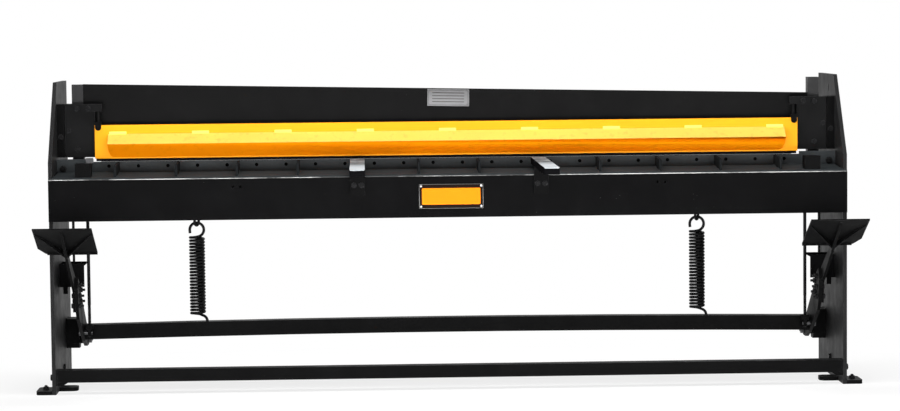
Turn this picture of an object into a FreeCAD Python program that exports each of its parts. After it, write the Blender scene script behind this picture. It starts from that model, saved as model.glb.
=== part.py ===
"""Treadle guillotine shear for sheet metal, as an assembly of separate pieces, in millimetres.

X runs along the blades, Y from the front to the back and Z up. Shapes are built with Y = 0 at the
front edge of the side plates, and save() moves them so that the origin is the middle of the ground
that the machine covers.
"""
import FreeCAD, Part
import math
import os

Vec = FreeCAD.Vector
X_AXIS, Y_AXIS, Z_AXIS = Vec(1, 0, 0), Vec(0, 1, 0), Vec(0, 0, 1)

# Length of the blades, and the room between a blade's end and the side plate
BLADE_LENGTH = 2530.0
END_ROOM = 158.0

# Side plates
SIDE_THICK = 14.0
SIDE_DEPTH = 533.0
SIDE_HEIGHT = 1120.0
SIDE_FRONT_RISE = 5.0
SIDE_TOP_DEPTH = 326.0
LIFT_SLOT_LENGTH = 26.0
LIFT_SLOT_WIDTH = 8.0
LIFT_SLOT_BACK = 228.0
LIFT_SLOT_DROP = 51.0

# Feet, with a levelling stud through each outer lug
FOOT_THICK = 14.0
FOOT_OUT = 58.0
FOOT_DEPTH = 120.0
FOOT_CORNER = 14.0
FOOT_IN = 67.0
FOOT_IN_DEPTH = 68.0
FOOT_IN_Y = 99.0
STUD_DIAMETER = 12.0
STUD_ABOVE_NUT = 5.0
STUD_OFF_FLOOR = 1.0

# Front stretcher near the floor
STRETCHER_DEPTH = 50.0
STRETCHER_HEIGHT = 45.0
STRETCHER_Z = 44.0
TUBE_WALL = 3.0
END_PLATE_THICK = 6.0
END_PLATE_DROP = 12.0
STRETCHER_GUSSET = 37.0
STRETCHER_BOLT = 12.0

# Cutting table: bar, bent apron plate, gussets, lower blade
TABLE_TOP = 830.0
BAR_Y = 165.0
BAR_THICK = 20.0
BAR_HEIGHT = 70.0
LEDGE_DROP = 37.0
LEDGE_FALL = 11.5
APRON_HEIGHT = 168.0
APRON_THICK = 8.0
APRON_BEND = 14.0
GUSSET_EDGE = 66.0
GUSSET_COUNT = 12
GUSSET_THICK = 8.0
GUSSET_NOSE = 41.0
GUSSET_FRONT_Y = 10.0
GUSSET_DROP = 1.0
LOWER_BLADE_THICK = 12.0
LOWER_BLADE_HEIGHT = 40.0
BLADE_SCREW = 8.0
BLADE_SCREW_EDGE = 30.0
BLADE_SCREW_COUNT = 24
BLADE_SCREW_DROP = 16.0
COUNTERBORE_DEPTH = 13.0
TABLE_BRACKET_WIDTH = 38.0
TABLE_BRACKET_DEPTH = 30.0
TABLE_BOLT = 12.0
TABLE_BOLT_DROP = 24.0

# Rails on the bar's ends, blocks on the ends of the ledge and the bright pad on the left
RAIL_PAST_BLADE = 27.0
RAIL_HEIGHT = 10.0
END_BLOCK_WIDTH = 57.0
END_BLOCK_DEPTH = 55.0
END_BLOCK_PROUD = 1.0
END_BLOCK_IN = 109.5
END_BLOCK_Y = 6.0
END_BLOCK_SCREW = 10.0
PAD_IN = 119.0
PAD_SIZE = 26.0
PAD_DEPTH = 10.0
PAD_HEIGHT = 19.0
PAD_BELOW_TOP = 4.0

# Sheet support arms on their brackets, and the spare pair of places for them
ARM_X = 330.0
ARM_SPARE_X = 763.5
ARM_WIDTH = 52.0
ARM_THICK = 24.0
ARM_REACH = 580.0
ARM_CHAMFER = 3.0
BRACKET_PLATE = 10.0
BRACKET_SHELF = 70.0
BRACKET_HEIGHT = 98.0
BRACKET_BOLT = 10.0
BRACKET_BOLT_PITCH = 27.0
BRACKET_BOLT_DROP = 85.5

# Plain plate on the apron, and its screws
NAME_PLATE_X = 5.5
NAME_PLATE_WIDTH = 231.0
NAME_PLATE_HEIGHT = 88.0
NAME_PLATE_THICK = 2.0
NAME_PLATE_DROP = 129.0
NAME_SCREW = 5.0
NAME_SCREW_INSET = 7.0

# Rear cross member, and the eye bolts that the return springs hang on
MEMBER_Y = 265.0
MEMBER_DEPTH = 50.0
MEMBER_HEIGHT = 60.0
MEMBER_DROP = 190.0
EYE_RADIUS = 14.0
EYE_WIRE_RADIUS = 5.0
EYE_TURN = 60.0
EYE_STEM = 12.0

# Return springs
SPRING_IN = 496.0
SPRING_WIRE = 9.0
SPRING_DIAMETER = 58.0
SPRING_TURNS = 24
SPRING_PITCH = 11.7
SPRING_HOOK_DROP = 71.0
SPRING_HOOK_RADIUS = 26.0
SPRING_HOOK_RISE = 28.5
SPRING_TAIL_X = 34.0
SPRING_TAIL_IN = 12.0

# Treadle: pivot, swing, levers, bar, pedal arms and pedals
PIVOT_Y = 400.0
PIVOT_Z = 162.0
PIVOT_DIAMETER = 24.0
HALF_SWING = 12.5
ROD_OFFSET = 158.0
LEVER_IN = 80.0
LEVER_THICK = 12.0
LEVER_BOSS_RADIUS = 26.0
LEVER_MARGIN = 4.0
LEVER_HEAD_SIZE = 68.0
HUB_RADIUS = 22.0
BAR_OFFSET = 120.0
TREADLE_BAR_DEPTH = 50.0
TREADLE_BAR_HEIGHT = 54.5
TREADLE_BAR_RISE = 5.5
TREADLE_BAR_BOW = 11.0
CLAMP_BACK = 295.0
CLAMP_RISE = 188.0
CLAMP_BOLT = 10.0
CLAMP_STICK_OUT = 9.0
ARM_SLOPE = 26.0
PEDAL_ARM_THICK = 10.0
PEDAL_ARM_TOP = 50.0
PEDAL_ARM_SHORT = 18.0
PEDAL_START = 288.0
PEDAL_LENGTH = 228.0
PEDAL_IN = 91.0
PEDAL_WIDTH = 206.0
PEDAL_THICK = 5.0
PEDAL_LIP = 5.0
PEDAL_CORNER_WIDE = 24.0
PEDAL_CORNER_LONG = 50.0
PEDAL_RIB_DEPTH = 21.0
PEDAL_RIB_END = 3.0
PEDAL_RIB_THICK = 5.0

# Treadle pivot blocks
PIVOT_BLOCK_WIDTH = 48.0
PIVOT_BLOCK_DEPTH = 80.0
PIVOT_BLOCK_TOP = 74.0
PIVOT_BLOCK_BOTTOM = 37.0
COLLAR_RADIUS = 20.0
COLLAR_WIDTH = 11.0

# Beam, upper blade and the slides that guide them
RAKE = 1.245
BLADE_OPEN = 12.0
CUT_GAP = 0.3
UPPER_BLADE_THICK = 11.7
UPPER_BLADE_HEIGHT = 60.0
BLADE_SHOW = 9.0
UPPER_SCREW_COUNT = 12
UPPER_SCREW_EDGE = 82.5
BEAM_THICK = 16.0
BEAM_HEIGHT = 205.0
BEAM_PAST_BLADE = 63.0
BEAM_FLANGE_DEPTH = 50.0
BEAM_FLANGE_THICK = 10.0
BEAM_FLANGE_IN = 38.0
BEAM_RIB_COUNT = 5
BEAM_RIB_THICK = 8.0
SLIDE_WIDTH = 41.0
SLIDE_DEPTH = 45.0
SLIDE_BELOW_TOP = 9.0
SLIDE_DROP = 105.0
DATA_PLATE_X = 4.5
DATA_PLATE_WIDTH = 153.0
DATA_PLATE_HEIGHT = 62.0
DATA_PLATE_THICK = 1.5
DATA_PLATE_RISE = 149.0

# Guides on the side plates
GUIDE_RISE = 17.0
GUIDE_HEIGHT = 193.5
COVER_PAST_BLADE = 18.0
COVER_OFF_SIDE = 30.0
COVER_BEHIND = 9.0
COVER_THICK = 20.0
GIB_WIDTH = 28.0
LINER_THICK = 6.0
LINER_INSET = 3.0
LINER_SHORT = 8.0
KEEPER_THICK = 14.0
GUIDE_BOLT = 10.0
SLIDE_GAP = 0.3

# Crossheads under the slides, pull rods and stop rods
CROSSHEAD_IN = 23.0
CROSSHEAD_WIDTH = 87.0
CROSSHEAD_DEPTH = 40.0
CROSSHEAD_HEIGHT = 25.0
CROSSHEAD_BACK = 13.0
PULL_ROD_IN = 20.0
PULL_ROD = 12.0
STOP_ROD_OUT = 33.0
STOP_ROD = 10.0
STOP_ROD_BELOW = 55.0
ROD_IN_CROSSHEAD = 20.0
COUPLING_SIZE = 28.0
COUPLING_HEIGHT = 19.0
ROD_EYE_RADIUS = 14.0
ROD_EYE_THICK = 12.0
ROD_PIN = 14.0
SLOT_PLAY = 0.6

# Stop brackets under the slides
STOP_SHELF_DROP = 380.0
STOP_PLATE = 8.0
STOP_FRONT_Y = 175.0
STOP_DEPTH = 105.0
STOP_DROP = 77.0
STOP_IN = 90.0
STOP_TAB_WIDTH = 16.0
STOP_TAB_DROP = 25.0
STOP_TAB_INSET = 13.0

# Hold-down bar with its guard, hung on two rods
HOLD_LIFT = 2.5
HOLD_PAST_BLADE = 15.0
HOLD_THICK = 20.0
HOLD_HEIGHT = 122.5
HOLD_BACK_GAP = 7.3
GUARD_PAST_BLADE = 19.0
GUARD_RISE = 9.5
GUARD_HEIGHT = 122.0
GUARD_THICK = 3.0
LIP_SHORT = 30.0
LIP_CORNER = 20.0
LIP_APEX_OUT = 47.0
LIP_FOOT_RISE = 14.0
LIP_APEX_RISE = 63.5
LIP_TOP_RISE = 98.5
TAB_COUNT = 9
TAB_EDGE = 4.0
TAB_WIDTH = 62.0
TAB_HEIGHT = 9.0
ROD_BLOCK = 22.0
HANGER_PAST_BLADE = 6.0
HANGER_ROD = 14.0
HANGER_BELOW_TOP = 4.5
LUG_HEIGHT = 27.5
LUG_EDGE = 15.0
LUG_OVERLAP = 47.0
LUG_FRONT = 12.0

# Clearances
RUN_GAP = 0.05
HOLE_GAP = 0.3
SEAT_GAP = 0.3

# Places worked out from the sizes above
HALF_BLADE = BLADE_LENGTH / 2
X_IN = HALF_BLADE + END_ROOM
X_OUT = X_IN + SIDE_THICK
SIDE_FRONT_HEIGHT = TABLE_TOP + SIDE_FRONT_RISE
FRAME_Y = (ARM_REACH - SIDE_DEPTH) / 2
LEDGE_Z = TABLE_TOP - LEDGE_DROP
APRON_BOTTOM = LEDGE_Z - APRON_HEIGHT
CUT_Y = BAR_Y + BAR_THICK + LOWER_BLADE_THICK
UPPER_BLADE_Y = CUT_Y + CUT_GAP
BEAM_Y = UPPER_BLADE_Y + UPPER_BLADE_THICK
GUSSET_PITCH = (BLADE_LENGTH - 2 * GUSSET_EDGE) / (GUSSET_COUNT - 1)
BLADE_SCREW_PITCH = (BLADE_LENGTH - 2 * BLADE_SCREW_EDGE) / (BLADE_SCREW_COUNT - 1)
UPPER_SCREW_PITCH = (BLADE_LENGTH - 2 * UPPER_SCREW_EDGE) / (UPPER_SCREW_COUNT - 1)
END_BLOCK_X = X_IN - END_BLOCK_IN
PAD_X = PAD_IN - X_IN
NAME_PLATE_Z = TABLE_TOP - NAME_PLATE_DROP
MEMBER_Z = TABLE_TOP - MEMBER_DROP
SPRING_X = X_IN - SPRING_IN
SPRING_HOOK_Z = MEMBER_Z - SPRING_HOOK_DROP
RISE_PER_X = math.tan(math.radians(RAKE))
SLIDE_X = HALF_BLADE + BEAM_PAST_BLADE
SLIDE_TOP = SIDE_HEIGHT - SLIDE_BELOW_TOP
SLIDE_BOTTOM = TABLE_TOP - SLIDE_DROP
BEAM_FLANGE_LENGTH = 2 * (SLIDE_X - BEAM_FLANGE_IN)
BEAM_RIB_PITCH = BEAM_FLANGE_LENGTH / (BEAM_RIB_COUNT + 1)
GUIDE_BOTTOM = TABLE_TOP + GUIDE_RISE
GUIDE_TOP = GUIDE_BOTTOM + GUIDE_HEIGHT
COVER_INNER_X = HALF_BLADE + COVER_PAST_BLADE
COVER_OUTER_X = X_IN - COVER_OFF_SIDE
COVER_Y = BEAM_Y - COVER_THICK - COVER_BEHIND
LINER_Y = COVER_Y + COVER_THICK
SLIDE_Y = LINER_Y + LINER_THICK + SLIDE_GAP
KEEPER_Y = SLIDE_Y + SLIDE_DEPTH + SLIDE_GAP
GUIDE_X = SLIDE_X + SLIDE_WIDTH + SLIDE_GAP
LEVER_X = X_IN - LEVER_IN
LEVER_OUT = LEVER_X + LEVER_THICK
PEDAL_INNER_X = LEVER_X - PEDAL_IN
CROSSHEAD_INNER_X = SLIDE_X - CROSSHEAD_IN
PULL_ROD_X = LEVER_X - PULL_ROD_IN
STOP_ROD_X = LEVER_X + STOP_ROD_OUT
STOP_SHELF_Z = TABLE_TOP - STOP_SHELF_DROP
STOP_ROD_END = STOP_SHELF_Z - STOP_ROD_BELOW
STOP_INNER_X = X_IN - STOP_IN
ROD_Y = PIVOT_Y - ROD_OFFSET
PIN_RISE = ROD_OFFSET * math.tan(math.radians(HALF_SWING))
PIN_Z = PIVOT_Z + PIN_RISE
TRAVEL = 2 * PIN_RISE
CROSSHEAD_Y = ROD_Y + CROSSHEAD_BACK - CROSSHEAD_DEPTH
CROSSHEAD_Z = SLIDE_BOTTOM - CROSSHEAD_HEIGHT
SPRING_Y = MEMBER_Y + MEMBER_DEPTH / 2
HOLD_Y = UPPER_BLADE_Y - HOLD_BACK_GAP - HOLD_THICK
HOLD_BOTTOM = TABLE_TOP + HOLD_LIFT
HOLD_TOP = HOLD_BOTTOM + HOLD_HEIGHT
GUARD_Y = HOLD_Y - GUARD_THICK
HOLD_LENGTH = 2 * (HALF_BLADE + HOLD_PAST_BLADE)
GUARD_LENGTH = 2 * (HALF_BLADE + GUARD_PAST_BLADE)
LIP_LENGTH = 2 * (HALF_BLADE - LIP_SHORT)
TAB_PITCH = (LIP_LENGTH - TAB_WIDTH - 2 * TAB_EDGE) / (TAB_COUNT - 1)
HANGER_X = HALF_BLADE + HANGER_PAST_BLADE
HANGER_Y = HOLD_Y + HOLD_THICK / 2
HANGER_TOP = GUIDE_TOP - HANGER_BELOW_TOP
LUG_BOTTOM = GUIDE_TOP - LUG_HEIGHT
LUG_INNER_X = HANGER_X - LUG_EDGE
LUG_OUTER_X = COVER_INNER_X + LUG_OVERLAP


def box(x0, x1, y0, y1, z0, z1):
    """A block between two corners, given as three ranges."""
    return Part.makeBox(x1 - x0, y1 - y0, z1 - z0, Vec(x0, y0, z0))


def cylinder(radius, start, axis, length):
    """A round bar of a given length from a start point."""
    return Part.makeCylinder(radius, length, start, axis)


def plate(points, push):
    """A flat plate: the face inside the points, pushed by a vector."""
    outline = Part.makePolygon(list(points) + [points[0]])
    return Part.Face(outline).extrude(push)


def plate_yz(points, x, thick):
    """A plate across X, from (Y, Z) points."""
    return plate([Vec(x, y, z) for y, z in points], Vec(thick, 0, 0))


def plate_xz(points, y, thick):
    """A plate across Y, from (X, Z) points."""
    return plate([Vec(px, y, z) for px, z in points], Vec(0, thick, 0))


def join(*shapes):
    """One solid from shapes that touch or overlap."""
    return shapes[0].multiFuse(list(shapes[1:])).removeSplitter()


def drill(shape, radius, start, axis, length):
    """A shape with a round hole in it."""
    return shape.cut(cylinder(radius, start, axis, length))


def mirrored(shape):
    """The same piece on the other side of the machine."""
    return shape.mirror(Vec(0, 0, 0), X_AXIS)


def both_sides(shapes):
    """Pieces of the right side with their twins on the left."""
    return list(shapes) + [mirrored(shape) for shape in shapes]


def hexagon(flats, height, base, axis):
    """A hexagonal bar along an axis, from the centre of its first face."""
    corner = flats / math.sqrt(3)
    points = [
        Vec(corner * math.cos(math.radians(60 * i)), corner * math.sin(math.radians(60 * i)), 0)
        for i in range(6)
    ]
    bar = plate(points, Vec(0, 0, height))
    bar.Placement = FreeCAD.Placement(base, FreeCAD.Rotation(Z_AXIS, axis))
    return bar


def hex_bolt(size, length, seat, axis):
    """A hexagon bolt. Its head's underside is at the seat, and its shank runs along the axis."""
    head_height = 0.65 * size
    head = hexagon(1.6 * size, head_height, seat - axis * head_height, axis)
    return join(head, cylinder(size / 2, seat, axis, length))


def nut(size, base, axis):
    """A hexagon nut, with a bore that clears its bolt."""
    body = hexagon(1.6 * size, 0.8 * size, base, axis)
    return drill(body, size / 2 + RUN_GAP, base, axis, 0.8 * size)


def cap_screw(size, length, seat, axis):
    """A socket head screw. Its head's underside is at the seat."""
    head = cylinder(0.75 * size, seat - axis * size, axis, size)
    socket = hexagon(0.75 * size, size / 2, seat - axis * size, axis)
    return join(head.cut(socket), cylinder(size / 2, seat, axis, length))


def save(node, *solids):
    """Moves the pieces to the machine's origin and writes them as one node."""
    shape = solids[0] if len(solids) == 1 else Part.makeCompound(list(solids))
    placed = shape.copy()
    placed.translate(Vec(0, FRAME_Y, 0))
    placed.exportStep("parts/" + node + ".step")


def square_tube(x0, x1, y0, depth, z0, height, wall):
    """A square tube along X."""
    outer = box(x0, x1, y0, y0 + depth, z0, z0 + height)
    return outer.cut(box(x0, x1, y0 + wall, y0 + depth - wall, z0 + wall, z0 + height - wall))


# Side plates, feet and stretcher

STRETCHER_BOLT_Y = STRETCHER_DEPTH / 2
STRETCHER_BOLT_Z = STRETCHER_Z + (STRETCHER_HEIGHT - END_PLATE_DROP) / 2
INNER_BOLT_Y = 268.0
INNER_BOLT_Z = 68.0


def side_plate():
    """The right side plate, with the slot near its top and its bolt holes."""
    outline = [
        (0, 0),
        (0, SIDE_FRONT_HEIGHT),
        (SIDE_DEPTH - SIDE_TOP_DEPTH, SIDE_HEIGHT),
        (SIDE_DEPTH, SIDE_HEIGHT),
        (SIDE_DEPTH, 0),
    ]
    body = plate_yz(outline, X_IN, SIDE_THICK)
    slot_y = SIDE_DEPTH - LIFT_SLOT_BACK
    slot_z = SIDE_HEIGHT - LIFT_SLOT_DROP
    half = (LIFT_SLOT_LENGTH - LIFT_SLOT_WIDTH) / 2
    for z in (slot_z - half, slot_z + half):
        body = drill(body, LIFT_SLOT_WIDTH / 2, Vec(X_IN, slot_y, z), X_AXIS, SIDE_THICK)
    half_width = LIFT_SLOT_WIDTH / 2
    body = body.cut(
        box(X_IN, X_OUT, slot_y - half_width, slot_y + half_width, slot_z - half, slot_z + half)
    )
    radius = STRETCHER_BOLT / 2 + HOLE_GAP
    for y, z in ((STRETCHER_BOLT_Y, STRETCHER_BOLT_Z), (INNER_BOLT_Y, INNER_BOLT_Z)):
        body = drill(body, radius, Vec(X_IN, y, z), X_AXIS, SIDE_THICK)
    return body


def outer_lug():
    """The outward foot lug, with its outer corners rounded and a hole for the stud."""
    lug = box(X_OUT, X_OUT + FOOT_OUT, 0, FOOT_DEPTH, 0, FOOT_THICK)
    edges = [
        edge
        for edge in lug.Edges
        if edge.BoundBox.ZLength > FOOT_THICK / 2 and edge.CenterOfMass.x > X_OUT + FOOT_OUT / 2
    ]
    lug = lug.makeFillet(FOOT_CORNER, edges)
    centre = Vec(X_OUT + FOOT_OUT / 2, FOOT_DEPTH / 2, 0)
    return drill(lug, STUD_DIAMETER / 2 + RUN_GAP, centre, Z_AXIS, FOOT_THICK)


def inner_lug():
    """The inward foot lug, rounded at its free end."""
    y1 = FOOT_IN_Y + FOOT_IN_DEPTH
    lug = box(X_IN - FOOT_IN, X_IN, FOOT_IN_Y, y1, 0, FOOT_THICK)
    edges = [
        edge
        for edge in lug.Edges
        if edge.BoundBox.ZLength > FOOT_THICK / 2 and edge.CenterOfMass.x < X_IN - FOOT_IN / 2
    ]
    return lug.makeFillet(FOOT_IN_DEPTH / 3, edges)


def levelling_stud():
    """A threaded stud through the outer lug, and the nut that locks it."""
    nut_height = 0.8 * STUD_DIAMETER
    base = Vec(X_OUT + FOOT_OUT / 2, FOOT_DEPTH / 2, STUD_OFF_FLOOR)
    length = FOOT_THICK + nut_height + STUD_ABOVE_NUT - STUD_OFF_FLOOR
    stud = cylinder(STUD_DIAMETER / 2, base, Z_AXIS, length)
    return [stud, nut(STUD_DIAMETER, Vec(base.x, base.y, FOOT_THICK), Z_AXIS)]


def stretcher_end():
    """The end plate of the stretcher, with the small gusset below the tube."""
    x0 = X_IN - END_PLATE_THICK
    z0 = STRETCHER_Z - END_PLATE_DROP
    end = box(x0, X_IN, 0, STRETCHER_DEPTH, z0, STRETCHER_Z + STRETCHER_HEIGHT)
    hole = Vec(x0, STRETCHER_BOLT_Y, STRETCHER_BOLT_Z)
    end = drill(end, STRETCHER_BOLT / 2 + HOLE_GAP, hole, X_AXIS, END_PLATE_THICK)
    outline = [
        (x0, z0),
        (x0 - STRETCHER_GUSSET / 2, z0),
        (x0 - STRETCHER_GUSSET, STRETCHER_Z),
        (x0, STRETCHER_Z),
    ]
    return join(end, plate_xz(outline, TUBE_WALL, GUSSET_THICK))


def stretcher_bolts():
    """The bolt that holds one end of the stretcher, and the bolt further back in the plate."""
    seat = Vec(X_OUT, STRETCHER_BOLT_Y, STRETCHER_BOLT_Z)
    nut_x = X_IN - END_PLATE_THICK
    reach = X_OUT - nut_x + 0.8 * STRETCHER_BOLT
    end_bolt = hex_bolt(STRETCHER_BOLT, reach, seat, -X_AXIS)
    end_nut = nut(STRETCHER_BOLT, Vec(nut_x, seat.y, seat.z), -X_AXIS)
    inner_seat = Vec(X_IN, INNER_BOLT_Y, INNER_BOLT_Z)
    inner_bolt = hex_bolt(STRETCHER_BOLT, SIDE_THICK, inner_seat, X_AXIS)
    return [end_bolt, end_nut, inner_bolt]


def build_stand():
    """Side plates, feet, stretcher and rear cross member."""
    right = side_plate()
    save("right_side_plate", right)
    save("left_side_plate", mirrored(right))
    lugs = [outer_lug(), inner_lug()]
    save("foot_lugs", *both_sides(lugs))
    save("levelling_studs", *both_sides(levelling_stud()))
    x1 = X_IN - END_PLATE_THICK
    stretcher = square_tube(
        -x1, x1, 0, STRETCHER_DEPTH, STRETCHER_Z, STRETCHER_HEIGHT, TUBE_WALL
    )
    save("base_stretcher", stretcher)
    save("stretcher_end_plates", *both_sides([stretcher_end()]))
    save("stretcher_bolts", *both_sides(stretcher_bolts()))
    member = square_tube(-X_IN, X_IN, MEMBER_Y, MEMBER_DEPTH, MEMBER_Z, MEMBER_HEIGHT, TUBE_WALL)
    for x in (-SPRING_X, SPRING_X):
        start = Vec(x, SPRING_Y, MEMBER_Z)
        member = drill(member, EYE_STEM / 2 + HOLE_GAP, start, Z_AXIS, MEMBER_HEIGHT)
    save("rear_cross_member", member)


# Cutting table


def spread(count, pitch):
    """Places along X, evenly spaced about the middle."""
    return [(i - (count - 1) / 2) * pitch for i in range(count)]


def bracket_bolt_places():
    """X of every bracket bolt hole in the apron: the pair in use and the spare pair, both sides."""
    half = BRACKET_BOLT_PITCH / 2
    right = [middle + side * half for middle in (ARM_X, ARM_SPARE_X) for side in (-1, 1)]
    return right + [-x for x in right]


BRACKET_BOLT_Z = TABLE_TOP - BRACKET_BOLT_DROP


def ledge_slope():
    """How steeply the ledge falls from the bar to the front, in radians."""
    return math.atan(LEDGE_FALL / BAR_Y)


def ledge_z(y):
    """Height of the ledge's top at a place between front and bar."""
    return LEDGE_Z - (BAR_Y - y) * math.tan(ledge_slope())


def apron():
    """One bent plate: the front face over the full width, and the ledge back to the table bar."""
    y0 = -APRON_THICK
    inner = APRON_BEND - APRON_THICK
    bend_y = y0 + APRON_BEND
    fall = ledge_slope()
    outer_end = (bend_y - APRON_BEND * math.sin(fall), APRON_BEND * math.cos(fall))
    inner_end = (bend_y - inner * math.sin(fall), inner * math.cos(fall))
    bend_z = ledge_z(outer_end[0]) - outer_end[1]
    half_turn = math.pi / 4 + fall / 2
    under = LEDGE_Z - APRON_THICK / math.cos(fall)

    def at(y, z):
        return Vec(-X_OUT, y, z)

    def middle(radius):
        return at(bend_y - radius * math.sin(half_turn), bend_z + radius * math.cos(half_turn))

    outer = at(outer_end[0], bend_z + outer_end[1])
    within = at(inner_end[0], bend_z + inner_end[1])
    edges = [
        Part.LineSegment(at(y0, APRON_BOTTOM), at(y0, bend_z)),
        Part.Arc(at(y0, bend_z), middle(APRON_BEND), outer),
        Part.LineSegment(outer, at(BAR_Y, LEDGE_Z)),
        Part.LineSegment(at(BAR_Y, LEDGE_Z), at(BAR_Y, under)),
        Part.LineSegment(at(BAR_Y, under), within),
        Part.Arc(within, middle(inner), at(0, bend_z)),
        Part.LineSegment(at(0, bend_z), at(0, APRON_BOTTOM)),
        Part.LineSegment(at(0, APRON_BOTTOM), at(y0, APRON_BOTTOM)),
    ]
    profile = Part.Wire([edge.toShape() for edge in edges])
    body = Part.Face(profile).extrude(Vec(2 * X_OUT, 0, 0))
    for x0 in (-X_OUT, X_IN):
        body = body.cut(box(x0, x0 + SIDE_THICK, 0, BAR_Y, APRON_BOTTOM, LEDGE_Z))
    for x in bracket_bolt_places():
        start = Vec(x, y0, BRACKET_BOLT_Z)
        body = drill(body, BRACKET_BOLT / 2 + HOLE_GAP, start, Y_AXIS, APRON_THICK)
    return body


def table_bar():
    """The thick bar along the table's back, bored for the blade screws and the end bolts."""
    body = box(-X_IN, X_IN, BAR_Y, BAR_Y + BAR_THICK, TABLE_TOP - BAR_HEIGHT, TABLE_TOP)
    for x in spread(BLADE_SCREW_COUNT, BLADE_SCREW_PITCH):
        start = Vec(x, BAR_Y, TABLE_TOP - BLADE_SCREW_DROP)
        head_radius = 0.75 * BLADE_SCREW + 2 * HOLE_GAP
        body = drill(body, head_radius, start, Y_AXIS, COUNTERBORE_DEPTH)
        body = drill(body, BLADE_SCREW / 2 + HOLE_GAP, start, Y_AXIS, BAR_THICK)
    for x in (-table_bolt_x(), table_bolt_x()):
        start = Vec(x, BAR_Y, TABLE_TOP - TABLE_BOLT_DROP)
        body = drill(body, TABLE_BOLT / 2 + HOLE_GAP, start, Y_AXIS, BAR_THICK)
    return body


def table_bolt_x():
    """X of the bolts that hold the table bar to its brackets."""
    return X_IN - TABLE_BRACKET_WIDTH * 0.6


def lower_blade():
    """The fixed blade on the back of the table bar, with tapped holes for its screws."""
    z0 = TABLE_TOP - LOWER_BLADE_HEIGHT
    half = BLADE_LENGTH / 2
    y0 = BAR_Y + BAR_THICK
    body = box(-half, half, y0, CUT_Y, z0, TABLE_TOP)
    depth = LOWER_BLADE_THICK - TUBE_WALL
    for x in spread(BLADE_SCREW_COUNT, BLADE_SCREW_PITCH):
        start = Vec(x, y0, TABLE_TOP - BLADE_SCREW_DROP)
        body = drill(body, BLADE_SCREW / 2 + RUN_GAP, start, Y_AXIS, depth)
    return body


def table_gussets():
    """Upright plates that stand on the ledge and hold the bar, cut away under the arms."""
    outline = [
        (BAR_Y, TABLE_TOP - GUSSET_DROP),
        (BAR_Y, LEDGE_Z),
        (GUSSET_FRONT_Y, ledge_z(GUSSET_FRONT_Y)),
        (GUSSET_FRONT_Y, ledge_z(GUSSET_FRONT_Y) + GUSSET_NOSE),
    ]
    arms = Part.makeCompound([arm_blank(x) for x in (-ARM_X, ARM_X)])
    gussets = []
    for x in spread(GUSSET_COUNT, GUSSET_PITCH):
        gussets.append(plate_yz(outline, x - GUSSET_THICK / 2, GUSSET_THICK).cut(arms))
    return gussets


def arm_blank(x):
    """The plain bar of a support arm."""
    half = ARM_WIDTH / 2
    return box(x - half, x + half, -ARM_REACH, BAR_Y, TABLE_TOP - ARM_THICK, TABLE_TOP)


def support_arm(x):
    """A support arm with its front edges broken, and tapped holes for the screws from below."""
    arm = arm_blank(x)
    edges = [
        edge
        for edge in arm.Edges
        if edge.BoundBox.YLength < 1 and edge.CenterOfMass.y < -ARM_REACH + 1
    ]
    arm = arm.makeChamfer(ARM_CHAMFER, edges)
    seat = Vec(x, -APRON_THICK - BRACKET_SHELF * 0.6, TABLE_TOP - ARM_THICK)
    return drill(arm, BRACKET_BOLT / 2 + RUN_GAP, seat, Z_AXIS, ARM_THICK * 0.7)


def arm_bracket(x):
    """The angle on the apron that carries an arm, with a rib in its corner."""
    half = ARM_WIDTH / 2
    face = -APRON_THICK
    top = TABLE_TOP - ARM_THICK
    bottom = top - BRACKET_HEIGHT
    back = box(x - half, x + half, face - BRACKET_PLATE, face, bottom, top)
    front = face - BRACKET_SHELF
    shelf = box(x - half, x + half, front, face, top - BRACKET_PLATE, top)
    rib_outline = [
        (face, top),
        (front + 2 * BRACKET_PLATE, top),
        (face, top - BRACKET_SHELF / 2),
    ]
    rib = plate_yz(rib_outline, x - GUSSET_THICK / 2, GUSSET_THICK)
    body = join(back, shelf, rib)
    for side in (-1, 1):
        start = Vec(x + side * BRACKET_BOLT_PITCH / 2, face - BRACKET_PLATE, BRACKET_BOLT_Z)
        body = drill(body, BRACKET_BOLT / 2 + HOLE_GAP, start, Y_AXIS, BRACKET_PLATE)
    start = Vec(x, face - BRACKET_SHELF * 0.6, top - BRACKET_PLATE)
    clear = drill(body, BRACKET_BOLT / 2 + HOLE_GAP, start, Z_AXIS, BRACKET_PLATE)
    return clear.cut(hexagon(1.8 * BRACKET_BOLT, BRACKET_BOLT, start - Z_AXIS * BRACKET_BOLT, Z_AXIS))


def arm_bolts(x):
    """Two bolts with nuts through bracket and apron, and the screw up into the arm."""
    pieces = []
    grip = BRACKET_PLATE + APRON_THICK
    for side in (-1, 1):
        seat = Vec(x + side * BRACKET_BOLT_PITCH / 2, -APRON_THICK - BRACKET_PLATE, BRACKET_BOLT_Z)
        pieces.append(hex_bolt(BRACKET_BOLT, grip + BRACKET_BOLT, seat, Y_AXIS))
        pieces.append(nut(BRACKET_BOLT, Vec(seat.x, 0, seat.z), Y_AXIS))
    seat = Vec(x, -APRON_THICK - BRACKET_SHELF * 0.6, TABLE_TOP - ARM_THICK - BRACKET_PLATE)
    pieces.append(hex_bolt(BRACKET_BOLT, BRACKET_PLATE + ARM_THICK / 2, seat, Z_AXIS))
    return pieces


def table_bracket():
    """The block behind the bar's end, on the side plate, tapped for the bar's bolt."""
    y0 = BAR_Y + BAR_THICK
    body = box(X_IN - TABLE_BRACKET_WIDTH, X_IN, y0, y0 + TABLE_BRACKET_DEPTH,
               TABLE_TOP - BAR_HEIGHT, TABLE_TOP)
    start = Vec(table_bolt_x(), y0, TABLE_TOP - TABLE_BOLT_DROP)
    return drill(body, TABLE_BOLT / 2 + RUN_GAP, start, Y_AXIS, TABLE_BRACKET_DEPTH)


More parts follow.
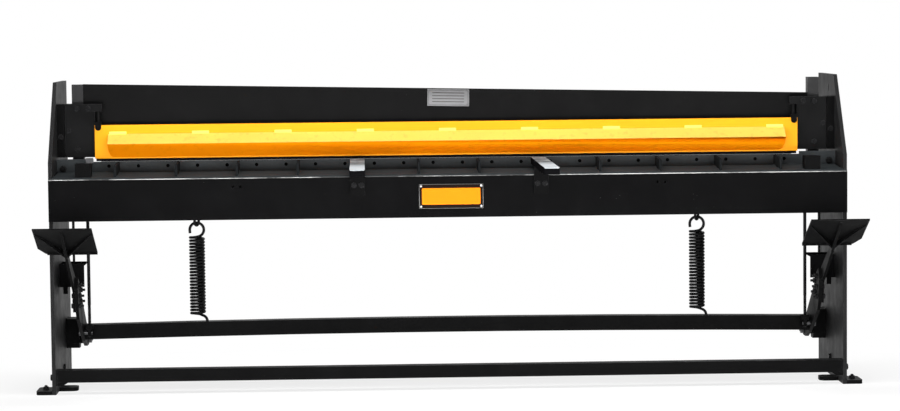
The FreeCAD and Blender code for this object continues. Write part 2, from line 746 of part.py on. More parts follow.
def end_block(x):
    """A block on the ledge near a side plate, counterbored for its screw."""
    half = END_BLOCK_WIDTH / 2
    top = TABLE_TOP + END_BLOCK_PROUD
    back = END_BLOCK_Y + END_BLOCK_DEPTH
    foot = ledge_z(END_BLOCK_Y)
    outline = [(END_BLOCK_Y, foot), (back, ledge_z(back)), (back, top), (END_BLOCK_Y, top)]
    body = plate_yz(outline, x - half, END_BLOCK_WIDTH)
    centre = Vec(x, END_BLOCK_Y + END_BLOCK_DEPTH / 2, foot)
    body = drill(body, END_BLOCK_SCREW / 2 + HOLE_GAP, centre, Z_AXIS, top - foot)
    head = Vec(centre.x, centre.y, top - END_BLOCK_SCREW)
    return drill(body, 0.75 * END_BLOCK_SCREW + HOLE_GAP, head, Z_AXIS, END_BLOCK_SCREW)


def end_block_screw(x):
    """The screw of an end block, down to the ledge plate."""
    seat = Vec(x, END_BLOCK_Y + END_BLOCK_DEPTH / 2, TABLE_TOP + END_BLOCK_PROUD - END_BLOCK_SCREW)
    reach = seat.z - ledge_z(END_BLOCK_Y + END_BLOCK_DEPTH)
    return cap_screw(END_BLOCK_SCREW, reach, seat, -Z_AXIS)


def name_plate_screws():
    """The four corner screws of the plain plate on the apron."""
    screws = []
    half_width = NAME_PLATE_WIDTH / 2 - NAME_SCREW_INSET
    half_height = NAME_PLATE_HEIGHT / 2 - NAME_SCREW_INSET
    for x in (NAME_PLATE_X - half_width, NAME_PLATE_X + half_width):
        for z in (NAME_PLATE_Z - half_height, NAME_PLATE_Z + half_height):
            seat = Vec(x, -APRON_THICK - NAME_PLATE_THICK, z)
            screws.append(cylinder(NAME_SCREW, seat, -Y_AXIS, NAME_SCREW / 2))
    return screws


def build_table():
    """Apron, table bar, gussets, lower blade, arms and the small pieces on the table."""
    save("apron", apron())
    save("table_bar", table_bar())
    save("lower_blade", lower_blade())
    screws = []
    for x in spread(BLADE_SCREW_COUNT, BLADE_SCREW_PITCH):
        seat = Vec(x, BAR_Y + COUNTERBORE_DEPTH, TABLE_TOP - BLADE_SCREW_DROP)
        reach = BAR_THICK - COUNTERBORE_DEPTH + LOWER_BLADE_THICK / 2
        screws.append(cap_screw(BLADE_SCREW, reach, seat, Y_AXIS))
    save("lower_blade_screws", *screws)
    save("table_gussets", *table_gussets())
    save("table_end_brackets", *both_sides([table_bracket()]))
    seat = Vec(table_bolt_x(), BAR_Y, TABLE_TOP - TABLE_BOLT_DROP)
    bolt = hex_bolt(TABLE_BOLT, BAR_THICK + TABLE_BRACKET_DEPTH * 0.8, seat, Y_AXIS)
    save("table_bolts", *both_sides([bolt, end_block_screw(END_BLOCK_X)]))
    save("table_end_blocks", *both_sides([end_block(END_BLOCK_X)]))
    rail = box(HALF_BLADE + RAIL_PAST_BLADE, X_IN, BAR_Y, BAR_Y + BAR_THICK, TABLE_TOP,
               TABLE_TOP + RAIL_HEIGHT)
    save("table_end_rails", *both_sides([rail]))
    half = PAD_SIZE / 2
    pad_z = TABLE_TOP - PAD_BELOW_TOP
    pad = box(PAD_X - half, PAD_X + half, BAR_Y - PAD_DEPTH, BAR_Y, pad_z, pad_z + PAD_HEIGHT)
    save("side_gauge_pad", pad)
    save("support_arms", support_arm(ARM_X), support_arm(-ARM_X))
    save("arm_brackets", arm_bracket(ARM_X), arm_bracket(-ARM_X))
    save("arm_bolts", *arm_bolts(ARM_X), *arm_bolts(-ARM_X))
    half_width = NAME_PLATE_WIDTH / 2
    half_height = NAME_PLATE_HEIGHT / 2
    front = -APRON_THICK - NAME_PLATE_THICK
    name_plate = box(NAME_PLATE_X - half_width, NAME_PLATE_X + half_width, front, -APRON_THICK,
                     NAME_PLATE_Z - half_height, NAME_PLATE_Z + half_height)
    save("name_plate", name_plate, *name_plate_screws())


# Guides, stop brackets and pivot blocks on the side plates


def guide_cover():
    """The front plate of the right guide, bored for its bolt and for the liner's screws."""
    body = box(COVER_INNER_X, COVER_OUTER_X, COVER_Y, LINER_Y, GUIDE_BOTTOM, GUIDE_TOP)
    for x, z in cover_bolt_places() + liner_screw_places():
        radius = GUIDE_BOLT / 2 + HOLE_GAP
        body = drill(body, radius, Vec(x, COVER_Y, z), Y_AXIS, COVER_THICK)
    start = Vec(lug_bolt_x(), COVER_Y, lug_bolt_z())
    return drill(body, GUIDE_BOLT / 2 + RUN_GAP, start, Y_AXIS, COVER_THICK)


def up_the_guide(share):
    """Height of a place in the guide, as a share of the guide's height."""
    return GUIDE_BOTTOM + share * GUIDE_HEIGHT


def cover_bolt_places():
    """X and Z of the bolt between the cover and the guide block."""
    return [((GUIDE_X + COVER_OUTER_X) / 2, up_the_guide(0.5))]


def liner_screw_places():
    """X and Z of the screws that hold the wear liner on the back of the cover."""
    x = SLIDE_X + SLIDE_WIDTH / 2
    return [(x, up_the_guide(0.15)), (x, up_the_guide(0.91))]


def gib_bolt_place():
    """X and Z of the bolt in the outer strip."""
    return X_IN - GIB_WIDTH / 2, up_the_guide(0.39)


def keeper_bolt_places():
    """X and Z of the bolts through the rear keeper."""
    x = (GUIDE_X + X_IN) / 2
    return [(x, up_the_guide(0.17)), (x, up_the_guide(0.83))]


def lug_bolt_x():
    """X of the bolt that holds the hanger lug on the cover."""
    return (COVER_INNER_X + LUG_OUTER_X) / 2


def lug_bolt_z():
    """Z of the bolt that holds the hanger lug on the cover."""
    return (LUG_BOTTOM + GUIDE_TOP) / 2


def liner():
    """The wear strip between cover and slide."""
    x0 = SLIDE_X + LINER_INSET
    x1 = SLIDE_X + SLIDE_WIDTH - LINER_INSET
    z0, z1 = GUIDE_BOTTOM + LINER_SHORT, GUIDE_TOP - LINER_SHORT
    body = box(x0, x1, LINER_Y, LINER_Y + LINER_THICK, z0, z1)
    for x, z in liner_screw_places():
        start = Vec(x, LINER_Y, z)
        body = drill(body, GUIDE_BOLT / 2 + RUN_GAP, start, Y_AXIS, LINER_THICK * 0.75)
    return body


def guide_block():
    """The block between cover and keeper that the slide runs along, on the side plate."""
    body = box(GUIDE_X, X_IN, LINER_Y, KEEPER_Y, GUIDE_BOTTOM, GUIDE_TOP)
    radius = GUIDE_BOLT / 2 + RUN_GAP
    for x, z in cover_bolt_places() + [gib_bolt_place()]:
        body = drill(body, radius, Vec(x, LINER_Y, z), Y_AXIS, 2 * GUIDE_BOLT)
    for x, z in keeper_bolt_places():
        body = drill(body, radius, Vec(x, KEEPER_Y, z), -Y_AXIS, 2 * GUIDE_BOLT)
    return body


def guide_keeper():
    """The rear plate of the guide."""
    x0 = SLIDE_X + LINER_INSET
    body = box(x0, X_IN, KEEPER_Y, KEEPER_Y + KEEPER_THICK, GUIDE_BOTTOM, GUIDE_TOP)
    for x, z in keeper_bolt_places():
        start = Vec(x, KEEPER_Y, z)
        body = drill(body, GUIDE_BOLT / 2 + HOLE_GAP, start, Y_AXIS, KEEPER_THICK)
    return body


def gib_strip():
    """The narrow strip beside the cover, against the side plate."""
    body = box(X_IN - GIB_WIDTH, X_IN, COVER_Y, LINER_Y, GUIDE_BOTTOM, GUIDE_TOP)
    x, z = gib_bolt_place()
    return drill(body, GUIDE_BOLT / 2 + HOLE_GAP, Vec(x, COVER_Y, z), Y_AXIS, COVER_THICK)


def guide_bolts():
    """The bolts of one guide."""
    pieces = []
    for x, z in cover_bolt_places() + [gib_bolt_place()]:
        seat = Vec(x, COVER_Y, z)
        pieces.append(hex_bolt(GUIDE_BOLT, COVER_THICK + 1.8 * GUIDE_BOLT, seat, Y_AXIS))
    for x, z in liner_screw_places():
        seat = Vec(x, COVER_Y, z)
        pieces.append(hex_bolt(GUIDE_BOLT, COVER_THICK + LINER_THICK / 2, seat, Y_AXIS))
    for x, z in keeper_bolt_places():
        seat = Vec(x, KEEPER_Y + KEEPER_THICK, z)
        pieces.append(hex_bolt(GUIDE_BOLT, KEEPER_THICK + 1.8 * GUIDE_BOLT, seat, -Y_AXIS))
    seat = Vec(lug_bolt_x(), COVER_Y - LUG_FRONT, lug_bolt_z())
    pieces.append(hex_bolt(GUIDE_BOLT, LUG_FRONT + COVER_THICK * 0.8, seat, Y_AXIS))
    return pieces


def hanger_lug():
    """The lug at the top of the cover that guides the hold-down's rod in a blind hole."""
    front = box(LUG_INNER_X, LUG_OUTER_X, COVER_Y - LUG_FRONT, COVER_Y, LUG_BOTTOM, GUIDE_TOP)
    side = box(LUG_INNER_X, COVER_INNER_X, COVER_Y, LINER_Y, LUG_BOTTOM, GUIDE_TOP)
    body = join(front, side)
    start = Vec(HANGER_X, HANGER_Y, LUG_BOTTOM)
    depth = HANGER_TOP - LUG_BOTTOM + SEAT_GAP
    body = drill(body, HANGER_ROD / 2 + 2 * RUN_GAP, start, Z_AXIS, depth)
    bolt = Vec(lug_bolt_x(), COVER_Y - LUG_FRONT, lug_bolt_z())
    return drill(body, GUIDE_BOLT / 2 + HOLE_GAP, bolt, Y_AXIS, LUG_FRONT)


def stop_bracket():
    """The folded bracket on the side plate that the stop rod slides through."""
    y1 = STOP_FRONT_Y + STOP_DEPTH
    bottom = STOP_SHELF_Z - STOP_DROP
    top = STOP_SHELF_Z + STOP_PLATE
    shelf = box(STOP_INNER_X, X_IN, STOP_FRONT_Y, y1, STOP_SHELF_Z, top)
    front = box(STOP_INNER_X, X_IN, STOP_FRONT_Y, STOP_FRONT_Y + STOP_PLATE, bottom, top)
    side = box(X_IN - STOP_PLATE, X_IN, STOP_FRONT_Y, y1, bottom, top)
    tab_x = X_IN - STOP_TAB_INSET
    tab = box(tab_x - STOP_TAB_WIDTH, tab_x, STOP_FRONT_Y, STOP_FRONT_Y + STOP_PLATE,
              bottom - STOP_TAB_DROP, bottom)
    body = join(shelf, front, side, tab)
    start = Vec(STOP_ROD_X, ROD_Y, STOP_SHELF_Z)
    return drill(body, STOP_ROD / 2 + 2 * HOLE_GAP, start, Z_AXIS, STOP_PLATE)


def pivot_block():
    """The welded block that holds the treadle's pivot pin."""
    half = PIVOT_BLOCK_DEPTH / 2
    top = PIVOT_Z + PIVOT_BLOCK_TOP
    bottom = PIVOT_Z - PIVOT_BLOCK_BOTTOM
    outline = [
        (PIVOT_Y - half, top),
        (PIVOT_Y + half, top),
        (PIVOT_Y + half, bottom + half / 2),
        (PIVOT_Y + half / 2, bottom),
        (PIVOT_Y - half / 2, bottom),
        (PIVOT_Y - half, bottom + half / 2),
    ]
    x0 = X_IN - PIVOT_BLOCK_WIDTH
    body = plate_yz(outline, x0, PIVOT_BLOCK_WIDTH)
    start = Vec(x0, PIVOT_Y, PIVOT_Z)
    return drill(body, PIVOT_DIAMETER / 2 + RUN_GAP, start, X_AXIS, PIVOT_BLOCK_WIDTH)


def pivot_pin():
    """The pivot pin, and the collar that keeps the lever on it."""
    x0 = LEVER_X - SEAT_GAP - COLLAR_WIDTH
    start = Vec(x0 - PIVOT_DIAMETER / 6, PIVOT_Y, PIVOT_Z)
    pin = cylinder(PIVOT_DIAMETER / 2, start, X_AXIS, X_IN - start.x)
    collar_start = Vec(x0, PIVOT_Y, PIVOT_Z)
    collar = cylinder(COLLAR_RADIUS, collar_start, X_AXIS, COLLAR_WIDTH)
    collar = drill(collar, PIVOT_DIAMETER / 2 + RUN_GAP, collar_start, X_AXIS, COLLAR_WIDTH)
    return pin, collar


def build_side_fittings():
    """Everything that is fixed to the inner faces of the side plates."""
    save("guide_covers", *both_sides([guide_cover()]))
    save("guide_blocks", *both_sides([guide_block()]))
    save("guide_keepers", *both_sides([guide_keeper()]))
    save("guide_liners", *both_sides([liner()]))
    save("gib_strips", *both_sides([gib_strip()]))
    save("guide_bolts", *both_sides(guide_bolts()))
    save("hanger_lugs", *both_sides([hanger_lug()]))
    save("stop_brackets", *both_sides([stop_bracket()]))
    save("pivot_blocks", *both_sides([pivot_block()]))
    pin, collar = pivot_pin()
    save("pivot_pins", *both_sides([pin]))
    save("pivot_collars", *both_sides([collar]))


# Treadle

CLAMP_Y = PIVOT_Y - CLAMP_BACK
CLAMP_Z = PIVOT_Z + CLAMP_RISE

# Points of lever, arm and clamp bolts, as shares of the lever's head along and square to the slope
LEVER_FRONT = [(0.97, -0.01), (1.0, 0.62), (0.0, 0.68), (-0.72, 0.35)]
LEVER_CHIN = [(-0.37, -1.26), (0.25, -0.94)]
ARM_HEEL = [(-0.71, 0.38), (-0.59, -0.69), (0.0, -0.98), (0.56, -0.07)]
CLAMP_BOLTS = [(0.32, 0.44), (-0.29, 0.41), (0.06, -0.06), (-0.41, -0.18), (0.03, -0.62)]


def arm_point(along, above):
    """(Y, Z) of a point of the pedal arm, along its slope and square to it, from the clamp."""
    slope = math.radians(ARM_SLOPE)
    y = CLAMP_Y - along * math.cos(slope) + above * math.sin(slope)
    z = CLAMP_Z + along * math.sin(slope) + above * math.cos(slope)
    return y, z


def head_point(place):
    """(Y, Z) of a point given as shares of the lever's head."""
    return arm_point(place[0] * LEVER_HEAD_SIZE, place[1] * LEVER_HEAD_SIZE)


def pivot_point(y, z):
    """(Y, Z) of a point given from the pivot."""
    return PIVOT_Y + y, PIVOT_Z + z


def rod_slot():
    """The slot in the lever that the pull rod's pin slides in, as a cutter."""
    near = ROD_OFFSET - SLOT_PLAY
    far = ROD_OFFSET / math.cos(math.radians(HALF_SWING)) + SLOT_PLAY
    radius = ROD_PIN / 2 + SLOT_PLAY
    lean = math.radians(HALF_SWING)
    ends = [pivot_point(-reach * math.cos(lean), reach * math.sin(lean)) for reach in (near, far)]
    rounds = [cylinder(radius, Vec(LEVER_X, y, z), X_AXIS, LEVER_THICK) for y, z in ends]
    across = (radius * math.sin(lean), radius * math.cos(lean))
    (y0, z0), (y1, z1) = ends
    corners = [
        (y0 - across[0], z0 - across[1]),
        (y1 - across[0], z1 - across[1]),
        (y1 + across[0], z1 + across[1]),
        (y0 + across[0], z0 + across[1]),
    ]
    return join(rounds[0], rounds[1], plate_yz(corners, LEVER_X, LEVER_THICK))


def treadle_lever():
    """The lever between pivot, pull rod, treadle bar and pedal arm, with its hub."""
    head = [head_point(place) for place in LEVER_FRONT]
    bar_back = TREADLE_BAR_DEPTH - BAR_OFFSET
    bar_up = TREADLE_BAR_RISE + TREADLE_BAR_HEIGHT
    back = [pivot_point(bar_back + LEVER_MARGIN, bar_up + LEVER_MARGIN),
            pivot_point(0, LEVER_BOSS_RADIUS)]
    foot = [pivot_point(0, -LEVER_BOSS_RADIUS),
            pivot_point(-0.4 * BAR_OFFSET, -LEVER_BOSS_RADIUS),
            pivot_point(-BAR_OFFSET - LEVER_MARGIN, TREADLE_BAR_RISE - LEVER_MARGIN)]
    chin = [head_point(place) for place in LEVER_CHIN]
    blade = plate_yz(head + back + foot + chin, LEVER_X, LEVER_THICK)
    start = Vec(LEVER_X, PIVOT_Y, PIVOT_Z)
    boss = cylinder(LEVER_BOSS_RADIUS, start, X_AXIS, LEVER_THICK)
    hub_length = X_IN - PIVOT_BLOCK_WIDTH - SEAT_GAP - LEVER_X
    body = join(blade, boss, cylinder(HUB_RADIUS, start, X_AXIS, hub_length))
    body = drill(body, PIVOT_DIAMETER / 2 + RUN_GAP, start, X_AXIS, hub_length)
    body = body.cut(rod_slot())
    for place in CLAMP_BOLTS:
        y, z = head_point(place)
        hole = Vec(LEVER_X, y, z)
        body = drill(body, CLAMP_BOLT / 2 + HOLE_GAP, hole, X_AXIS, LEVER_THICK)
    return body


def pedal_arm():
    """The tapered arm from the clamp up to the front of the pedal, without its bolt holes."""
    front = PEDAL_START + PEDAL_LENGTH
    outline = [
        arm_point(front - PEDAL_ARM_SHORT, PEDAL_ARM_TOP),
        arm_point(0, PEDAL_ARM_TOP),
    ]
    outline += [head_point(place) for place in ARM_HEEL]
    outline.append(arm_point(front - 2 * PEDAL_ARM_SHORT, PEDAL_ARM_TOP - PEDAL_THICK))
    return plate_yz(outline, LEVER_OUT, PEDAL_ARM_THICK)


def clamp_bolts():
    """The bolts that clamp the pedal arm on the lever, long enough to stand out inside."""
    pieces = []
    out = LEVER_OUT + PEDAL_ARM_THICK
    nut_height = 0.8 * CLAMP_BOLT
    grip = LEVER_THICK + PEDAL_ARM_THICK + nut_height + CLAMP_STICK_OUT
    for place in CLAMP_BOLTS:
        y, z = head_point(place)
        pieces.append(hex_bolt(CLAMP_BOLT, grip, Vec(out, y, z), -X_AXIS))
        pieces.append(nut(CLAMP_BOLT, Vec(LEVER_X, y, z), -X_AXIS))
    return pieces


def pedal(arm):
    """The foot plate with its rear lip and three ribs below, notched over the pedal arm."""
    x1 = PEDAL_INNER_X + PEDAL_WIDTH
    outline = [
        Vec(PEDAL_INNER_X, 0, 0),
        Vec(PEDAL_INNER_X, -PEDAL_LENGTH, 0),
        Vec(x1, -PEDAL_LENGTH, 0),
        Vec(x1, -PEDAL_CORNER_LONG, 0),
        Vec(x1 - PEDAL_CORNER_WIDE, 0, 0),
    ]
    top = plate(outline, Vec(0, 0, PEDAL_THICK))
    lip_end = x1 - 1.2 * PEDAL_CORNER_WIDE
    lip = box(PEDAL_INNER_X, lip_end, -PEDAL_THICK, 0, -PEDAL_LIP, 0)
    middle = LEVER_OUT + PEDAL_ARM_THICK / 2
    ribs = []
    for x in (PEDAL_INNER_X + PEDAL_RIB_THICK, x1 - PEDAL_RIB_THICK):
        root = Vec(middle, -PEDAL_THICK, 0)
        tip = Vec(x, -PEDAL_LENGTH * 0.8, 0)
        along = (tip - root).normalize()
        across = Z_AXIS.cross(along) * PEDAL_RIB_THICK
        web = [root, tip, tip - Z_AXIS * PEDAL_RIB_END, root - Z_AXIS * PEDAL_RIB_DEPTH]
        ribs.append(plate([point - across * 0.5 for point in web], across))
    body = join(top, lip, *ribs)
    body.rotate(Vec(0, 0, 0), X_AXIS, -ARM_SLOPE)
    y, z = arm_point(PEDAL_START, PEDAL_ARM_TOP)
    body.translate(Vec(0, y, z))
    return body.cut(arm)


def bar_outline(inset):
    """The bowed outline of the treadle bar in X and Z, drawn in by the wall on both sides."""
    z0 = PIVOT_Z + TREADLE_BAR_RISE + inset
    z1 = PIVOT_Z + TREADLE_BAR_RISE + TREADLE_BAR_HEIGHT - inset
    y0 = PIVOT_Y - BAR_OFFSET + inset

    def at(x, z):
        return Vec(x, y0, z)

    edges = [
        Part.Arc(at(-LEVER_X, z0), at(0, z0 + TREADLE_BAR_BOW), at(LEVER_X, z0)),
        Part.LineSegment(at(LEVER_X, z0), at(LEVER_X, z1)),
        Part.Arc(at(LEVER_X, z1), at(0, z1 + TREADLE_BAR_BOW), at(-LEVER_X, z1)),
        Part.LineSegment(at(-LEVER_X, z1), at(-LEVER_X, z0)),
    ]
    return Part.Face(Part.Wire([edge.toShape() for edge in edges]))


def treadle_bar():
    """The bowed tube between the levers, with a hole for the tail of each spring."""
    outer = bar_outline(0).extrude(Vec(0, TREADLE_BAR_DEPTH, 0))
    inner = bar_outline(TUBE_WALL).extrude(Vec(0, TREADLE_BAR_DEPTH - 2 * TUBE_WALL, 0))
    body = outer.cut(inner)
    for x in (-SPRING_X, SPRING_X):
        top = PIVOT_Z + TREADLE_BAR_RISE + TREADLE_BAR_HEIGHT + TREADLE_BAR_BOW
        start = Vec(x + SPRING_TAIL_X, SPRING_Y, top)
        body = drill(body, SPRING_WIRE / 2 + HOLE_GAP, start, -Z_AXIS, TREADLE_BAR_HEIGHT / 2)
    return body


def bar_top(x):
    """Height of the treadle bar's top at a place along it."""
    radius = (LEVER_X ** 2 + TREADLE_BAR_BOW ** 2) / (2 * TREADLE_BAR_BOW)
    sag = radius - math.sqrt(radius ** 2 - x ** 2)
    return PIVOT_Z + TREADLE_BAR_RISE + TREADLE_BAR_HEIGHT + TREADLE_BAR_BOW - sag


def build_treadle():
    """Treadle bar, levers, pedal arms and pedals."""
    save("treadle_bar", treadle_bar())
    save("treadle_levers", *both_sides([treadle_lever()]))
    arm = pedal_arm()
    foot_plate = pedal(arm)
    for place in CLAMP_BOLTS:
        y, z = head_point(place)
        hole = Vec(LEVER_OUT, y, z)
        arm = drill(arm, CLAMP_BOLT / 2 + HOLE_GAP, hole, X_AXIS, PEDAL_ARM_THICK)
    save("pedal_arms", *both_sides([arm]))
    save("pedals", *both_sides([foot_plate]))
    save("clamp_bolts", *both_sides(clamp_bolts()))


# Beam, upper blade, slides and rods


def edge_z(x):
    """Height of the upper blade's cutting edge at a place along it, at rest."""
    return TABLE_TOP + BLADE_OPEN + (BLADE_LENGTH / 2 - x) * RISE_PER_X


def raked(half, low, high, y, thick):
    """A plate that follows the rake, between two heights above the cutting edge."""
    points = [
        (-half, edge_z(-half) + low),
        (half, edge_z(half) + low),
        (half, edge_z(half) + high),
        (-half, edge_z(-half) + high),
    ]
    return plate_xz(points, y, thick)


def upper_screw_places():
    """X and Z of the upper blade's screws."""
    rise = UPPER_BLADE_HEIGHT / 2
    return [(x, edge_z(x) + rise) for x in spread(UPPER_SCREW_COUNT, UPPER_SCREW_PITCH)]


def upper_blade():
    """The moving blade, counterbored for its screws."""
    body = raked(BLADE_LENGTH / 2, 0, UPPER_BLADE_HEIGHT, UPPER_BLADE_Y, UPPER_BLADE_THICK)
    for x, z in upper_screw_places():
        start = Vec(x, UPPER_BLADE_Y, z)
        body = drill(body, 0.75 * BLADE_SCREW + HOLE_GAP, start, Y_AXIS, BLADE_SCREW)
        body = drill(body, BLADE_SCREW / 2 + HOLE_GAP, start, Y_AXIS, UPPER_BLADE_THICK)
    return body


def blade_beam():
    """The raked beam plate between the slides."""
    body = raked(SLIDE_X, BLADE_SHOW, BLADE_SHOW + BEAM_HEIGHT, BEAM_Y, BEAM_THICK)
    for x, z in upper_screw_places():
        start = Vec(x, BEAM_Y, z)
        body = drill(body, BLADE_SCREW / 2 + RUN_GAP, start, Y_AXIS, BEAM_THICK * 0.8)
    return body


def beam_flange():
    """The stiffening plate along the back of the beam."""
    low = BLADE_SHOW + (BEAM_HEIGHT - BEAM_FLANGE_THICK) / 2
    half = BEAM_FLANGE_LENGTH / 2
    return raked(half, low, low + BEAM_FLANGE_THICK, BEAM_Y + BEAM_THICK, BEAM_FLANGE_DEPTH)


def beam_ribs():
    """Upright ribs between the flange and the top of the beam."""
    low = BLADE_SHOW + (BEAM_HEIGHT + BEAM_FLANGE_THICK) / 2
    ribs = []
    y0 = BEAM_Y + BEAM_THICK
    y1 = y0 + BEAM_FLANGE_DEPTH
    for x in spread(BEAM_RIB_COUNT, BEAM_RIB_PITCH):
        top = edge_z(x) + BLADE_SHOW + BEAM_HEIGHT - BEAM_RIB_THICK
        x0 = x - BEAM_RIB_THICK / 2
        outline = [(y0, edge_z(x)), (y1, edge_z(x)), (y1, edge_z(x) + low + BEAM_RIB_THICK), (y0, top)]
        rib = plate_yz(outline, x0, BEAM_RIB_THICK)
        below = raked(BEAM_FLANGE_LENGTH / 2, -BEAM_HEIGHT, low, y0, BEAM_FLANGE_DEPTH)
        ribs.append(rib.cut(below))
    return ribs


def slide():
    """The upright that carries the beam's right end and runs in the guide."""
    x1 = SLIDE_X + SLIDE_WIDTH
    return box(SLIDE_X, x1, SLIDE_Y, SLIDE_Y + SLIDE_DEPTH, SLIDE_BOTTOM, SLIDE_TOP)


def crosshead():
    """The block under the slide, tapped for the pull rod and the stop rod."""
    x1 = CROSSHEAD_INNER_X + CROSSHEAD_WIDTH
    y1 = CROSSHEAD_Y + CROSSHEAD_DEPTH
    body = box(CROSSHEAD_INNER_X, x1, CROSSHEAD_Y, y1, CROSSHEAD_Z, SLIDE_BOTTOM)
    for x, size in ((PULL_ROD_X, PULL_ROD), (STOP_ROD_X, STOP_ROD)):
        start = Vec(x, ROD_Y, CROSSHEAD_Z)
        body = drill(body, size / 2 + RUN_GAP, start, Z_AXIS, ROD_IN_CROSSHEAD + SEAT_GAP)
    return body


def pull_rod():
    """The rod from crosshead to lever, its lock nut, and the square coupling at its foot."""
    foot = PIN_Z + ROD_EYE_RADIUS + COUPLING_HEIGHT
    top = CROSSHEAD_Z + ROD_IN_CROSSHEAD
    start = Vec(PULL_ROD_X, ROD_Y, foot)
    rod = cylinder(PULL_ROD / 2, start, Z_AXIS, top - foot)
    lock = nut(PULL_ROD, Vec(PULL_ROD_X, ROD_Y, CROSSHEAD_Z), -Z_AXIS)
    return rod, lock


def rod_end():
    """The coupling block and the eye below it, in one piece, on the pull rod's foot."""
    half = COUPLING_SIZE / 2
    low = PIN_Z + ROD_EYE_RADIUS
    block = box(PULL_ROD_X - half, PULL_ROD_X + half, ROD_Y - half, ROD_Y + half,
                low, low + COUPLING_HEIGHT)
    x0 = PULL_ROD_X - ROD_EYE_THICK / 2
    eye = cylinder(ROD_EYE_RADIUS, Vec(x0, ROD_Y, PIN_Z), X_AXIS, ROD_EYE_THICK)
    web = box(x0, x0 + ROD_EYE_THICK, ROD_Y - ROD_EYE_RADIUS, ROD_Y + ROD_EYE_RADIUS, PIN_Z, low)
    body = join(block, eye, web)
    return drill(body, ROD_PIN / 2 + RUN_GAP, Vec(x0, ROD_Y, PIN_Z), X_AXIS, ROD_EYE_THICK)


def rod_pin():
    """The pin from the rod's eye through the slot in the lever, with a head outside."""
    x0 = PULL_ROD_X - ROD_EYE_THICK / 2 - ROD_PIN / 4
    seat = LEVER_OUT + SEAT_GAP
    pin = cylinder(ROD_PIN / 2, Vec(x0, ROD_Y, PIN_Z), X_AXIS, seat - x0)
    head = cylinder(ROD_PIN * 0.75, Vec(seat, ROD_Y, PIN_Z), X_AXIS, ROD_PIN / 2)
    return join(pin, head)


def stop_rod():
    """The rod down through the stop bracket, its lock nut, and the nut that stops the beam."""
    top = CROSSHEAD_Z + ROD_IN_CROSSHEAD
    rod = cylinder(STOP_ROD / 2, Vec(STOP_ROD_X, ROD_Y, STOP_ROD_END), Z_AXIS, top - STOP_ROD_END)
    lock = nut(STOP_ROD, Vec(STOP_ROD_X, ROD_Y, CROSSHEAD_Z), -Z_AXIS)
    stop = nut(STOP_ROD, Vec(STOP_ROD_X, ROD_Y, STOP_SHELF_Z - SEAT_GAP), -Z_AXIS)
    return rod, lock, stop


def data_plate():
    """The bare plate on the front of the beam, set along the rake."""
    half = DATA_PLATE_WIDTH / 2
    front = BEAM_Y - DATA_PLATE_THICK
    body = box(-half, half, front, BEAM_Y, 0, DATA_PLATE_HEIGHT)
    body.rotate(Vec(0, 0, 0), Y_AXIS, RAKE)
    body.translate(Vec(DATA_PLATE_X, 0, edge_z(DATA_PLATE_X) + DATA_PLATE_RISE))
    return body


def build_beam():
    """Beam, upper blade, slides, crossheads and rods."""
    save("blade_beam", blade_beam())
    save("beam_flange", beam_flange())
    save("beam_ribs", *beam_ribs())
    save("beam_data_plate", data_plate())
    save("upper_blade", upper_blade())
    screws = []
    for x, z in upper_screw_places():
        seat = Vec(x, UPPER_BLADE_Y + BLADE_SCREW, z)
        reach = UPPER_BLADE_THICK - BLADE_SCREW + BEAM_THICK * 0.7
        screws.append(cap_screw(BLADE_SCREW, reach, seat, Y_AXIS))
    save("upper_blade_screws", *screws)
    save("slides", *both_sides([slide()]))
    save("crossheads", *both_sides([crosshead()]))
    rod, rod_lock = pull_rod()
    save("pull_rods", *both_sides([rod]))
    save("rod_ends", *both_sides([rod_end()]))
    save("rod_pins", *both_sides([rod_pin()]))
    stop, stop_lock, stop_nut = stop_rod()
    save("stop_rods", *both_sides([stop]))
    save("rod_nuts", *both_sides([rod_lock, stop_lock, stop_nut]))


# Hold-down and guard


def guard_lip():
    """The folded lip along the guard: a sloping top, a sharp front edge and a face below it."""
    rear = [(GUARD_Y, HOLD_BOTTOM + LIP_TOP_RISE), (GUARD_Y, HOLD_BOTTOM + LIP_FOOT_RISE)]
    apex = (GUARD_Y - LIP_APEX_OUT, HOLD_BOTTOM + LIP_APEX_RISE)
    half = LIP_LENGTH / 2
    solid = plate_yz([rear[0], apex, rear[1]], -half, LIP_LENGTH)
    wall = 2 * GUARD_THICK
    hollow = [
        (GUARD_Y, rear[0][1] - wall),
        (apex[0] + wall, apex[1]),
        (GUARD_Y, rear[1][1] + wall),
    ]
    folded = solid.cut(plate_yz(hollow, -half, LIP_LENGTH))
    for side in (-1, 1):
        corner = [
            (side * half, apex[1]),
            (side * half, rear[1][1]),
            (side * (half - LIP_CORNER), rear[1][1]),
        ]
        folded = folded.cut(plate_xz(corner, apex[0], LIP_APEX_OUT))
    return folded


def guard_tabs():
    """Short tabs along the top of the lip, flat on the guard plate."""
    z0 = HOLD_BOTTOM + LIP_TOP_RISE
    tabs = []
    for x in spread(TAB_COUNT, TAB_PITCH):
        half = TAB_WIDTH / 2
        tabs.append(box(x - half, x + half, GUARD_Y - GUARD_THICK, GUARD_Y, z0, z0 + TAB_HEIGHT))
    return tabs


